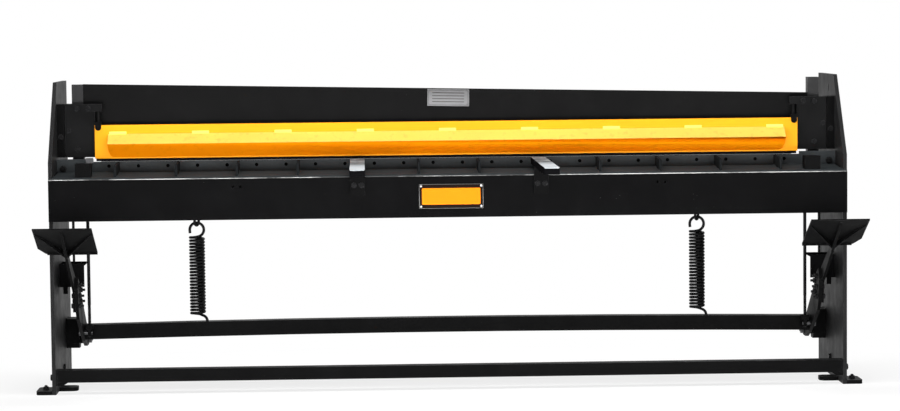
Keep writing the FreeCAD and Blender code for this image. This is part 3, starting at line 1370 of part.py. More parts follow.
def build_hold_down():
    """Hold-down bar, guard, and the rods that it hangs and slides on."""
    half = HOLD_LENGTH / 2
    bar = box(-half, half, HOLD_Y, HOLD_Y + HOLD_THICK, HOLD_BOTTOM, HOLD_TOP)
    save("hold_down_bar", bar)
    half = GUARD_LENGTH / 2
    guard_z = HOLD_BOTTOM + GUARD_RISE
    guard = box(-half, half, GUARD_Y, HOLD_Y, guard_z, guard_z + GUARD_HEIGHT)
    save("guard_plate", guard)
    save("guard_lip", guard_lip(), *guard_tabs())
    half = ROD_BLOCK / 2
    block = box(HANGER_X - half, HANGER_X + half, HOLD_Y, HOLD_Y + ROD_BLOCK,
                HOLD_TOP, HOLD_TOP + ROD_BLOCK)
    hook_y = GUARD_Y - 2 * GUARD_THICK
    hook = box(HANGER_X - half, HANGER_X + half, hook_y, GUARD_Y, HOLD_TOP, HOLD_TOP + ROD_BLOCK)
    over = box(HANGER_X - half, HANGER_X + half, GUARD_Y, HOLD_Y, guard_z + GUARD_HEIGHT,
               HOLD_TOP + ROD_BLOCK)
    round_end = cylinder(half, Vec(HANGER_X, hook_y, HOLD_TOP), Y_AXIS, 2 * GUARD_THICK)
    block = join(block, hook, over, round_end)
    rod_z = HOLD_TOP + half
    start = Vec(HANGER_X, HANGER_Y, rod_z)
    block = drill(block, HANGER_ROD / 2 + RUN_GAP, start, Z_AXIS, half)
    save("hanger_blocks", *both_sides([block]))
    rod = cylinder(HANGER_ROD / 2, start, Z_AXIS, HANGER_TOP - rod_z)
    save("hanger_rods", *both_sides([rod]))


# Return springs


def arc_edge(start, corner, end):
    """The arc that leaves start and meets end along the lines to a corner."""
    middle = (start + end) * 0.5
    cosine = (middle - start).Length / (corner - start).Length
    if cosine > 0.9999999:
        return Part.LineSegment(start, end).toShape()
    peak = middle + (corner - middle) * (cosine / (1 + cosine))
    return Part.Arc(start, peak, end).toShape()


def biarc(start, out, end, into):
    """Two arcs that join two points and leave and arrive along two unit directions."""
    span = end - start
    both = out + into
    spread_out = 2 * (1 - out.dot(into))
    along = span.dot(both)
    reach = (math.sqrt(along ** 2 + spread_out * span.dot(span)) - along) / spread_out
    first, second = start + out * reach, end - into * reach
    joint = (first + second) * 0.5
    return [arc_edge(start, first, joint), arc_edge(joint, second, end)]


def coil_station(quarters):
    """Point and direction on the coil, so many quarter turns up from its lowest left point."""
    radius = (SPRING_DIAMETER - SPRING_WIRE) / 2
    angle = math.pi + quarters * math.pi / 2
    low = SPRING_HOOK_Z - SPRING_HOOK_RISE - SPRING_TURNS * SPRING_PITCH
    point = Vec(radius * math.cos(angle), radius * math.sin(angle), low + quarters * SPRING_PITCH / 4)
    climb = SPRING_PITCH / (2 * math.pi)
    ahead = Vec(-radius * math.sin(angle), radius * math.cos(angle), climb)
    return point, ahead.normalize()


def hook_station(degrees):
    """Point and direction on the round hook, which stands upright over the coil."""
    angle = math.radians(degrees)
    point = Vec(SPRING_HOOK_RADIUS * math.cos(angle), 0,
                SPRING_HOOK_Z + SPRING_HOOK_RADIUS * math.sin(angle))
    return point, Vec(-math.sin(angle), 0, math.cos(angle))


def spring_stations():
    """Points and directions of the wire: tail, lead-in, coil, lead-out and hook."""
    radius = (SPRING_DIAMETER - SPRING_WIRE) / 2
    first, _ = coil_station(0)
    last, _ = coil_station(4 * SPRING_TURNS)
    bend_z = bar_top(SPRING_X + SPRING_TAIL_X) + 1.0
    stations = [
        (Vec(SPRING_TAIL_X, 0, bend_z), Vec(0, 0, 1)),
        (Vec(radius * 0.78, radius * 0.35, first.z - 10.5), Vec(-0.93, 0.25, 0.3).normalize()),
        (Vec(0, radius * 0.86, first.z - 5.0), Vec(-1, 0, 0.12).normalize()),
    ]
    stations += [coil_station(quarters) for quarters in range(4 * SPRING_TURNS + 1)]
    stations.append(
        (Vec(-radius * 0.12, -radius * 0.6, last.z + 2.6), Vec(0.96, 0.12, 0.2).normalize())
    )
    stations += [hook_station(degrees) for degrees in (-50, 28, 106, 185)]
    return stations


def spring_path():
    """The wire's centre line: biarcs between the stations, and a straight piece at each end."""
    stations = spring_stations()
    tail = Vec(0, 0, SPRING_TAIL_IN + TUBE_WALL + 1.0)
    start = stations[0][0] - tail
    edges = [Part.LineSegment(start, stations[0][0]).toShape()]
    for (p0, t0), (p1, t1) in zip(stations, stations[1:]):
        edges += biarc(p0, t0, p1, t1)
    end, out = stations[-1]
    edges.append(Part.LineSegment(end, end + out * SPRING_WIRE).toShape())
    return edges, start


def least_gap(edges):
    """The least gap of the wire to itself, from points along its centre line."""
    points = []
    travelled = 0.0
    for edge in edges:
        for point in edge.discretize(5)[:-1]:
            if points:
                travelled += (point - points[-1][0]).Length
            points.append((point, travelled))
    reach = 4 * SPRING_WIRE
    least = math.inf
    for i, (point, place) in enumerate(points):
        for other, further in points[i + 1:]:
            if further - place > 4 * SPRING_DIAMETER:
                break
            if further - place > reach:
                least = min(least, (other - point).Length)
    return least - SPRING_WIRE


def return_spring():
    """One spring, as one unbroken round wire, with its axis at X = 0 and Y = 0."""
    edges, start = spring_path()
    print("least gap of the spring wire to itself:", round(least_gap(edges), 2))
    section = Part.Wire([Part.makeCircle(SPRING_WIRE / 2, start, Z_AXIS)])
    sweep = Part.BRepOffsetAPI.MakePipeShell(Part.Wire(edges))
    sweep.add(section)
    sweep.build()
    sweep.makeSolid()
    solid = sweep.shape()
    length = sum(edge.Length for edge in edges)
    expected = math.pi * (SPRING_WIRE / 2) ** 2 * length
    print("spring wire length", round(length), "volume ratio", round(solid.Volume / expected, 4))
    return solid


def eye_bolt(x):
    """The eye that the hook hangs on, with its stem up through the cross member."""
    hook_under = SPRING_HOOK_Z + SPRING_HOOK_RADIUS - SPRING_WIRE / 2
    centre = Vec(x, SPRING_Y, hook_under - SEAT_GAP + EYE_RADIUS - EYE_WIRE_RADIUS)
    turn = math.radians(EYE_TURN + 90)
    normal = Vec(math.cos(turn), math.sin(turn), 0)
    ring = Part.makeTorus(EYE_RADIUS, EYE_WIRE_RADIUS, centre, normal)
    top = MEMBER_Z + MEMBER_HEIGHT + 1.2 * EYE_STEM
    start = centre + Z_AXIS * EYE_RADIUS
    return join(ring, cylinder(EYE_STEM / 2, start, Z_AXIS, top - start.z))


def build_springs():
    """The two return springs, and the eye bolts with their nuts."""
    spring = return_spring()
    for node, x in (("right_return_spring", SPRING_X), ("left_return_spring", -SPRING_X)):
        placed = spring.copy()
        placed.translate(Vec(x, SPRING_Y, 0))
        save(node, placed)
    save("spring_eye_bolts", eye_bolt(SPRING_X), eye_bolt(-SPRING_X))
    nuts = []
    for x in (-SPRING_X, SPRING_X):
        nuts.append(nut(EYE_STEM, Vec(x, SPRING_Y, MEMBER_Z), -Z_AXIS))
        nuts.append(nut(EYE_STEM, Vec(x, SPRING_Y, MEMBER_Z + MEMBER_HEIGHT), Z_AXIS))
    save("spring_eye_nuts", *nuts)


os.makedirs("parts", exist_ok=True)
build_stand()
build_table()
build_side_fittings()
build_treadle()
build_beam()
build_hold_down()
build_springs()
print("beam travel", round(TRAVEL, 2))
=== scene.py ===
"""Looks of the treadle guillotine shear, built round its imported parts.

Sizes are in millimetres, in the frame whose Y = 0 is the front edge of the side plates. A Shape is
built in that frame and turned into the scene's metres when it becomes a piece.
"""
import logging
import math
from dataclasses import dataclass
from enum import Enum
from functools import cached_property
from typing import ClassVar

import bmesh
import bpy
from mathutils import Matrix, Vector


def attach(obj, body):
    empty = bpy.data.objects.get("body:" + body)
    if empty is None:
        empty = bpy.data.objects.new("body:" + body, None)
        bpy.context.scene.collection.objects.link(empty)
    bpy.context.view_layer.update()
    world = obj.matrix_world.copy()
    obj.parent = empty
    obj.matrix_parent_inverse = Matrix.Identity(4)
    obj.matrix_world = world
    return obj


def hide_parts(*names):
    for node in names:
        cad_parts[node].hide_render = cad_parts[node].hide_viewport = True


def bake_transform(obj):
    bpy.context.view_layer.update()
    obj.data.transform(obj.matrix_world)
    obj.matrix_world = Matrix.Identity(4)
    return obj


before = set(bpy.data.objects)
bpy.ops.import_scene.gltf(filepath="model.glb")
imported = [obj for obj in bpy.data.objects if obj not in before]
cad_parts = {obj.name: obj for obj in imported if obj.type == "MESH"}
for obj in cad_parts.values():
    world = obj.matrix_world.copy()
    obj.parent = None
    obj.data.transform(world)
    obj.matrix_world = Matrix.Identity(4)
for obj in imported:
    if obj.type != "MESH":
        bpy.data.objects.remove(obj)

LOG = logging.getLogger("shear")

Point = tuple[float, float, float]
Pair = tuple[float, float]
Colour = tuple[float, float, float]
Socket = bpy.types.NodeSocket
Bead = tuple[Point, Point, float]
Station = tuple[Vector, Vector]

MM = 0.001
FRONT_SHIFT = 23.5

# Directions on the machine's right half
OUTWARD, BACK, UP = Vector((1, 0, 0)), Vector((0, 1, 0)), Vector((0, 0, 1))
INWARD, FORWARD, DOWN = -OUTWARD, -BACK, -UP

# Colours under and on the paint, with the ledge's painted light and the bend's painted highlight
WHITE = (1.0, 1.0, 1.0, 1.0)
WORN_GREY = (0.09, 0.09, 0.093)
CHIP_GREY = (0.22, 0.22, 0.21)
RUBBED_GREY = (0.12, 0.12, 0.123)
RUBBED_OXIDE = (0.10, 0.10, 0.104)
# Dust on the ledge, made lighter and bluer as painted light
LEDGE_DUST_AND_PAINTED_LIGHT = (0.028, 0.032, 0.034)
# Painted highlight along the apron's bend
PAINTED_BEND_HIGHLIGHT = (0.62, 0.62, 0.61)
ARM_BLACK = (0.004, 0.004, 0.0045)


class Side(Enum):
    """The two sides of the machine, by the sign of X."""

    LEFT = -1
    RIGHT = 1

    def x(self, value: float) -> float:
        """Gives a distance from the middle its side's sign."""
        return self.value * value


class Body(Enum):
    """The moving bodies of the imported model."""

    FRAME = "frame"
    TREADLE = "treadle"
    BEAM = "beam"
    HOLD_DOWN = "hold_down"


class Slot(Enum):
    """The record's material slots."""

    COAT = "charcoal_paint"
    BRIGHT = "bright_steel"
    OXIDE = "black_oxide"
    GUARD = "guard_yellow"
    LABEL = "label_yellow"
    PLATE = "bare_aluminium"


def metres(point: Point | Vector) -> Vector:
    """Turns a point in millimetres into the scene's metres."""
    x, y, z = point
    return Vector((x, y + FRONT_SHIFT, z)) * MM


class NodeGraph:
    """The nodes of a material or world, with short calls for what the finishes share."""

    def __init__(self, owner: bpy.types.Material | bpy.types.World) -> None:
        """Opens the owner's nodes.

        Args:
            owner: A new material or world.
        """
        owner.use_nodes = True
        self.tree = owner.node_tree
        self.shader = self.tree.nodes.get("Principled BSDF")

    @cached_property
    def place(self) -> Socket:
        """Object coordinates."""
        return self.add("ShaderNodeTexCoord").outputs["Object"]

    def add(self, kind: str, **settings: object) -> bpy.types.Node:
        """Adds a node and sets its properties.

        Args:
            kind: The node's type name.
            **settings: Properties of the node.

        Returns:
            The new node.
        """
        node = self.tree.nodes.new(kind)
        for key, value in settings.items():
            setattr(node, key, value)
        return node

    def link(self, source: Socket, target: Socket) -> None:
        """Joins two sockets."""
        self.tree.links.new(source, target)

    def feed(self, node: bpy.types.Node, **values: object) -> bpy.types.Node:
        """Sets or links a node's inputs by name.

        Args:
            node: The node.
            **values: Input names, with underscores for spaces, and their sockets or numbers.

        Returns:
            The node itself.
        """
        for key, value in values.items():
            socket = node.inputs[key.replace("_", " ")]
            if isinstance(value, Socket):
                self.link(value, socket)
            else:
                socket.default_value = value
        return node

    def noise(self, scale: float, detail: float, rough: float, stretch: Point | None = None) -> Socket:
        """A noise value over the surface.

        Args:
            scale: Features per metre.
            detail: Octaves.
            rough: Strength of the finer octaves.
            stretch: Scale along each axis, for lines.

        Returns:
            The value from 0 to 1.
        """
        where = self.stretched(stretch) if stretch else self.place
        node = self.add("ShaderNodeTexNoise")
        return self.feed(node, Vector=where, Scale=scale, Detail=detail, Roughness=rough).outputs["Fac"]

    def stretched(self, stretch: Point) -> Socket:
        """Object coordinates scaled along the three axes."""
        mapping = self.add("ShaderNodeMapping")
        return self.feed(mapping, Vector=self.place, Scale=stretch).outputs["Vector"]

    def ramp(self, value: Socket, low: float, high: float, out: Pair = (0.0, 1.0)) -> Socket:
        """Maps a value's range to another one, held at its ends.

        Args:
            value: The value.
            low: Where its range starts.
            high: Where it ends.
            out: The range that it goes to.

        Returns:
            The mapped value.
        """
        node = self.add("ShaderNodeMapRange", clamp=True)
        self.feed(node, Value=value, From_Min=low, From_Max=high, To_Min=out[0], To_Max=out[1])
        return node.outputs["Result"]

    def cloud(
        self, scale: float, detail: float, rough: float, low: float, high: float, out: Pair = (0.0, 1.0)
    ) -> Socket:
        """Soft patches: a noise value between low and high, mapped to the out range."""
        return self.ramp(self.noise(scale, detail, rough), low, high, out)

    def specks(self, scale: float, radius: float) -> Socket:
        """Round specks, 1 inside and 0 outside.

        Args:
            scale: Cells per metre.
            radius: Radius of a speck as a share of its cell.

        Returns:
            The mask.
        """
        node = self.feed(self.add("ShaderNodeTexVoronoi"), Vector=self.place, Scale=scale)
        return self.ramp(node.outputs["Distance"], radius, radius * 0.6)

    def times(self, first: Socket, second: Socket | float) -> Socket:
        """The product of two values.

        Args:
            first: A value.
            second: A value or a number.

        Returns:
            The product.
        """
        node = self.add("ShaderNodeMath", operation="MULTIPLY")
        self.link(first, node.inputs[0])
        if isinstance(second, Socket):
            self.link(second, node.inputs[1])
        else:
            node.inputs[1].default_value = second
        return node.outputs["Value"]

    def blend(self, share: Socket, first: Socket | Colour, second: Socket | Colour) -> Socket:
        """A colour between two, by a share.

        Args:
            share: 0 for the first colour and 1 for the second.
            first: A socket or a colour.
            second: A socket or a colour.

        Returns:
            The mixed colour.
        """
        node = self.add("ShaderNodeMix", data_type="RGBA")
        self.link(share, node.inputs[0])
        for socket, value in ((node.inputs[6], first), (node.inputs[7], second)):
            if isinstance(value, Socket):
                self.link(value, socket)
            else:
                socket.default_value = (*value, 1.0)
        return node.outputs[2]

    def rubbed(self, body: Socket, colour: Colour, radius: float, scuff: Socket) -> Socket:
        """Rubs the sharp edges through to another colour.

        Args:
            body: The coat's colour.
            colour: The colour below it.
            radius: How far the rubbing reaches from an edge, in metres.
            scuff: Where and how much it is rubbed.

        Returns:
            The colour with its rubbed edges.
        """
        bevel = self.feed(self.add("ShaderNodeBevel", samples=4), Radius=radius)
        surface = self.add("ShaderNodeNewGeometry")
        dot = self.add("ShaderNodeVectorMath", operation="DOT_PRODUCT")
        self.link(bevel.outputs["Normal"], dot.inputs[0])
        self.link(surface.outputs["Normal"], dot.inputs[1])
        edge = self.ramp(dot.outputs["Value"], 0.985, 0.9)
        return self.blend(self.times(edge, scuff), body, colour)

    def part(self, vector: Socket, axis: str) -> Socket:
        """One coordinate of a vector."""
        node = self.feed(self.add("ShaderNodeSeparateXYZ"), Vector=vector)
        return node.outputs[axis]

    def facing_up(self) -> Socket:
        """How far a face looks up: 1 for a floor and 0 for a wall."""
        return self.part(self.add("ShaderNodeNewGeometry").outputs["Normal"], "Z")

    def cover(
        self, body: Socket, rough: Socket, grain: Socket, strength: float, depth: float, **values: float
    ) -> None:
        """Gives the shader its colour, roughness and grain.

        Args:
            body: The colour.
            rough: The roughness.
            grain: Height of the grain, from 0 to 1.
            strength: Strength of the grain, from 0 to 1.
            depth: Depth of the grain in metres.
            **values: Further inputs of the shader.
        """
        bump = self.feed(self.add("ShaderNodeBump"), Height=grain, Strength=strength, Distance=depth)
        normal = bump.outputs["Normal"]
        self.feed(self.shader, Base_Color=body, Roughness=rough, Normal=normal, **values)

    def seen_or_mirrored(self) -> Socket:
        """Tells the rays that see or mirror a thing from the light that falls on it.

        Returns:
            1 for rays from the camera and from shiny faces, and 0 for the others.
        """
        path = self.add("ShaderNodeLightPath")
        either = self.add("ShaderNodeMath", operation="MAXIMUM")
        self.link(path.outputs["Is Camera Ray"], either.inputs[0])
        self.link(path.outputs["Is Glossy Ray"], either.inputs[1])
        return either.outputs["Value"]

    def mix_out(self, output: str, share: Socket, first: Socket, second: Socket) -> None:
        """Sends a mix of two shaders to the output.

        Args:
            output: The output node's name.
            share: 0 for the first shader and 1 for the second.
            first: A shader.
            second: A shader.
        """
        mix = self.add("ShaderNodeMixShader")
        for source, target in zip((share, first, second), mix.inputs):
            self.link(source, target)
        self.link(mix.outputs["Shader"], self.tree.nodes[output].inputs["Surface"])


@dataclass(frozen=True)
class Finish:
    """A surface finish, built once as a material.

    Attributes:
        name: The material's name.
        colour: Its main colour.
        roughness: Its middle roughness.
    """

    name: str
    colour: Colour
    roughness: float

    def material(self) -> bpy.types.Material:
        """Gives the finish's material, built at its first use.

        Returns:
            The material.
        """
        name = f"{self.name}_finish"
        found = bpy.data.materials.get(name)
        if not found:
            found = bpy.data.materials.new(name)
            self.paint(NodeGraph(found))
        return found

    def paint(self, graph: NodeGraph) -> None:
        """Links the finish's nodes."""
        raise NotImplementedError

    def shade(self, factor: float) -> Colour:
        """The main colour made lighter or darker."""
        red, green, blue = (min(1.0, part * factor) for part in self.colour)
        return red, green, blue

    def sheen(self, graph: NodeGraph, value: Socket, less: float, more: float, low: float = 0.3) -> Socket:
        """The roughness, varied by a value.

        Args:
            graph: The material's nodes.
            value: The value, which spreads round 0.5.
            less: How far the roughness falls below its middle.
            more: How far it rises above it.
            low: The value at which it is lowest.

        Returns:
            The roughness.
        """
        return graph.ramp(value, low, 1.0 - low, (self.roughness - less, self.roughness + more))


@dataclass(frozen=True)
class PowderCoat(Finish):
    """Powder coat with orange peel, dust, small chips and rubbed edges.

    Attributes:
        gloss: Specular level of the coat.
        chips: Share of the surface that carries chips.
        rub: Strength of the rubbed edges.
        bare: How much of the coat is worn through to grey steel.
        bend: Whether the apron's ledge gets dust with painted light and its front bend a painted
            highlight.
    """

    gloss: float = 0.3
    chips: float = 0.35
    rub: float = 0.5
    bare: float = 0.0
    bend: bool = False

    def paint(self, graph: NodeGraph) -> None:
        """Links the coat's nodes.

        Args:
            graph: The material's nodes.
        """
        body = graph.blend(graph.cloud(2.2, 6.0, 0.6, 0.3, 0.7), self.shade(0.85), self.shade(1.2))
        dust = graph.cloud(9.0, 9.0, 0.72, 0.5, 0.8, (0.0, 0.3))
        body = graph.blend(dust, body, self.shade(2.4))
        worn = graph.cloud(26.0, 9.0, 0.75, 0.62 - 0.22 * self.bare, 0.74, (0.0, self.bare))
        body = graph.blend(worn, body, WORN_GREY)
        chipped = graph.cloud(4.0, 3.0, 0.5, 0.68 - self.chips * 0.25, 0.76)
        body = graph.blend(graph.times(graph.specks(42.0, 0.045), chipped), body, CHIP_GREY)
        scuff = graph.cloud(70.0, 6.0, 0.7, 0.46, 0.66, (0.0, self.rub))
        body = graph.rubbed(body, RUBBED_GREY, 0.0014, scuff)
        if self.bend:
            body = self.ledge_dust_and_bend_highlight(graph, body)
        rough = self.sheen(graph, graph.noise(14.0, 7.0, 0.65), 0.07, 0.1)
        peel = graph.noise(520.0, 2.0, 0.5)
        graph.cover(body, rough, peel, 0.12, 0.0004, Specular_IOR_Level=self.gloss)

    def ledge_dust_and_bend_highlight(self, graph: NodeGraph, body: Socket) -> Socket:
        """Adds dust with painted light on the ledge and a painted highlight along its front bend.

        Args:
            graph: The material's nodes.
            body: The coat's colour.

        Returns:
            The colour with dust, painted light and a painted highlight.
        """
        up = graph.facing_up()
        # Dust on the up-facing ledge, made lighter and bluer than the coat as painted light from above
        dust_and_light = graph.times(graph.ramp(up, 0.5, 0.6), graph.cloud(7.0, 8.0, 0.7, 0.3, 0.75, (0.5, 1.0)))
        body = graph.blend(dust_and_light, body, LEDGE_DUST_AND_PAINTED_LIGHT)
        # Painted highlight: a bright line along the bend, broken along its length
        line = graph.times(graph.ramp(up, 0.36, 0.42), graph.ramp(up, 0.58, 0.52))
        highlight_breaks = graph.ramp(graph.noise(2.6, 6.0, 0.7, (1.0, 0.2, 0.2)), 0.44, 0.6, (0.1, 1.0))
        return graph.blend(graph.times(line, highlight_breaks), body, PAINTED_BEND_HIGHLIGHT)


@dataclass(frozen=True)
class Enamel(Finish):
    """Bright enamel on folded sheet, with faint handling marks.

    Attributes:
        gloss: Specular level of the enamel.
    """

    gloss: float = 0.12

    def paint(self, graph: NodeGraph) -> None:
        """Links the enamel's nodes.

        Args:
            graph: The material's nodes.
        """
        body = graph.blend(graph.cloud(1.6, 4.0, 0.5, 0.3, 0.7), self.shade(0.95), self.shade(1.04))
        marks = graph.ramp(graph.noise(3.0, 7.0, 0.6, (0.3, 1.0, 1.0)), 0.6, 0.85, (0.0, 0.08))
        body = graph.blend(marks, body, self.shade(0.8))
        scuff = graph.cloud(40.0, 4.0, 0.6, 0.55, 0.7, (0.0, 0.35))
        body = graph.rubbed(body, self.shade(0.6), 0.0007, scuff)
        rough = self.sheen(graph, graph.noise(18.0, 6.0, 0.6), 0.05, 0.08)
        peel = graph.noise(420.0, 2.0, 0.5)
        graph.cover(body, rough, peel, 0.08, 0.0003, Specular_IOR_Level=self.gloss)


@dataclass(frozen=True)
class CutSteel(Finish):
    """Ground or milled steel with tool lines, smears and darker stains.

    Attributes:
        lines: Scale along each axis of the tool lines.
        stain: Strength of the stains.
    """

    lines: Point = (4.0, 90.0, 90.0)
    stain: float = 0.35

    def paint(self, graph: NodeGraph) -> None:
        """Links the steel's nodes.

        Args:
            graph: The material's nodes.
        """
        streak = graph.noise(9.0, 5.0, 0.6, self.lines)
        body = graph.blend(streak, self.shade(0.78), self.shade(1.12))
        stain = graph.cloud(13.0, 8.0, 0.7, 0.5, 0.75, (0.0, self.stain))
        body = graph.blend(stain, body, self.shade(0.45))
        rough = self.sheen(graph, streak, 0.08, 0.12, 0.25)
        graph.cover(body, rough, streak, 0.15, 0.0002, Metallic=1.0)


@dataclass(frozen=True)
class GroundTop(CutSteel):
    """Dull ground steel on the faces that look up, darkened towards its rear as painted shade, and black
    coat on all the others.
    """

    def paint(self, graph: NodeGraph) -> None:
        """Links the ground steel and the coat beside it.

        Args:
            graph: The material's nodes.
        """
        super().paint(graph)
        steel = graph.shader.inputs["Base Color"].links[0].from_socket
        # Painted shade: the ground top darkens in blotches towards the arm's rear, under the guard and
        # beam
        rear = graph.ramp(graph.part(graph.place, "Y"), -0.36, -0.16)
        shade_blotches = graph.cloud(18.0, 6.0, 0.6, 0.36, 0.52, (0.3, 1.0))
        steel = graph.blend(graph.times(rear, shade_blotches), steel, self.shade(0.2))
        top = graph.ramp(graph.facing_up(), 0.55, 0.65)
        body = graph.blend(top, ARM_BLACK, steel)
        graph.feed(graph.shader, Base_Color=body, Metallic=graph.times(top, 0.12))
        graph.feed(graph.shader, Specular_IOR_Level=0.0)


@dataclass(frozen=True)
class OxideSteel(Finish):
    """Black oxide on fasteners, rods and springs, oily and rubbed on its edges.

    Attributes:
        metal: How metallic the surface is.
        gloss: Specular level where it isn't metallic.
        rub: Strength of the rubbed edges.
    """

    metal: float = 0.1
    gloss: float = 0.05
    rub: float = 0.6

    def paint(self, graph: NodeGraph) -> None:
        """Links the oxide's nodes.

        Args:
            graph: The material's nodes.
        """
        body = graph.blend(graph.cloud(60.0, 6.0, 0.6, 0.3, 0.7), self.shade(0.7), self.shade(1.5))
        scuff = graph.cloud(240.0, 4.0, 0.6, 0.42, 0.62, (0.0, self.rub))
        body = graph.rubbed(body, RUBBED_OXIDE, 0.0012, scuff)
        rough = self.sheen(graph, graph.noise(120.0, 5.0, 0.5), 0.08, 0.1)
        grain = graph.noise(900.0, 2.0, 0.5)
        graph.cover(body, rough, grain, 0.06, 0.0002, Metallic=self.metal, Specular_IOR_Level=self.gloss)


COAT = PowderCoat("black_powder_coat", (0.0032, 0.0032, 0.0033), 0.45, gloss=0.02)
BEAM_COAT = PowderCoat("beam_coat", (0.0042, 0.0042, 0.0043), 0.45, gloss=0.04)
SIDE_COAT = PowderCoat("side_plate_coat", (0.0115, 0.0115, 0.0118), 0.48, gloss=0.05)
GUIDE_COAT = PowderCoat("guide_coat", (0.0080, 0.0080, 0.0082), 0.45, gloss=0.02, rub=0.7)
# Painted light: the black coat made much lighter where the guard's lip shades the table bar, and tinted
# blue against the guard's orange light
TABLE_PAINTED_LIGHT_COAT = PowderCoat("table_painted_light_coat", (0.050, 0.055, 0.058), 0.6, gloss=0.0, chips=0.6, rub=0.4)
# Painted light: the coat tinted blue against the orange light that the guard throws on the gussets
GUSSET_PAINTED_LIGHT_COAT = PowderCoat("gusset_painted_light_coat", (0.0105, 0.0115, 0.0122), 0.6, gloss=0.0, rub=0.3)
LEDGE_COAT = PowderCoat("apron_coat", (0.0034, 0.0034, 0.0036), 0.5, gloss=0.015, chips=0.6, bend=True)
SLIDE_COAT = PowderCoat("rubbed_slide", (0.021, 0.021, 0.0215), 0.5, gloss=0.12, rub=0.9, bare=0.3)
SHADE_COAT = PowderCoat("matt_black_coat", (0.0040, 0.0040, 0.0042), 0.6, gloss=0.0)
RUBBER = PowderCoat("pressing_rubber", (0.006, 0.006, 0.006), 0.8, gloss=0.0, chips=0.0, rub=0.0)
GUARD = Enamel("guard_yellow", (1.0, 0.385, 0.013), 0.45, gloss=0.04)
# Painted light: the guard's yellow made lighter on the up-facing crest, as if lit from above.
GUARD_CREST_PAINTED_LIGHT = Enamel("guard_crest_painted_light", (1.0, 0.80, 0.15), 0.45, gloss=0.04)
# Painted shade: the guard's yellow made a deeper orange on the down-facing lip.
GUARD_UNDER_PAINTED_SHADE = Enamel("guard_under_painted_shade", (1.0, 0.31, 0.002), 0.5, gloss=0.02)
FIELD = Enamel("label_yellow", (0.95, 0.235, 0.005), 0.45, gloss=0.03)
DARK_BAND = Enamel("label_black_band", (0.011, 0.006, 0.004), 0.4, gloss=0.03)
ARM_STEEL = GroundTop("ground_arm_top", (0.43, 0.455, 0.475), 0.5, lines=(90.0, 4.0, 90.0), stain=0.6)
PAD_STEEL = CutSteel("ground_pad", (0.14, 0.14, 0.145), 0.45)
SCREW_STEEL = CutSteel("polished_screw", (0.42, 0.42, 0.42), 0.3)
BLADE_STEEL = CutSteel("blade_steel", (0.45, 0.46, 0.48), 0.3)
PIN_STEEL = CutSteel("turned_steel", (0.09, 0.09, 0.093), 0.45, lines=(90.0, 90.0, 90.0))
PLATE_STEEL = CutSteel("data_plate_metal", (0.17, 0.17, 0.174), 0.5, lines=(5.0, 90.0, 90.0), stain=0.2)
RIM_STEEL = CutSteel("label_rim_metal", (0.15, 0.15, 0.145), 0.4, stain=0.1)
BRONZE = CutSteel("liner_bronze", (0.36, 0.22, 0.09), 0.4, lines=(90.0, 90.0, 5.0))
# Painted shade: blade steel made dark and unreflecting where the guard shades the lower blade
SHADED_BLADE_STEEL = OxideSteel("lower_blade_painted_shade", (0.050, 0.052, 0.055), 0.7, metal=0.0, gloss=0.0)
OXIDE = OxideSteel("black_oxide", (0.0065, 0.0065, 0.0068), 0.45)
# Painted shade: oxide made darker and unreflecting for screw heads deep in their counterbores
PAINTED_SHADE_OXIDE = OxideSteel("shaded_oxide", (0.003, 0.003, 0.0032), 0.6, metal=0.0, gloss=0.0, rub=0.0)
SPRING_OXIDE = OxideSteel("spring_oxide", (0.0042, 0.0042, 0.0044), 0.42, gloss=0.06, rub=0.05)

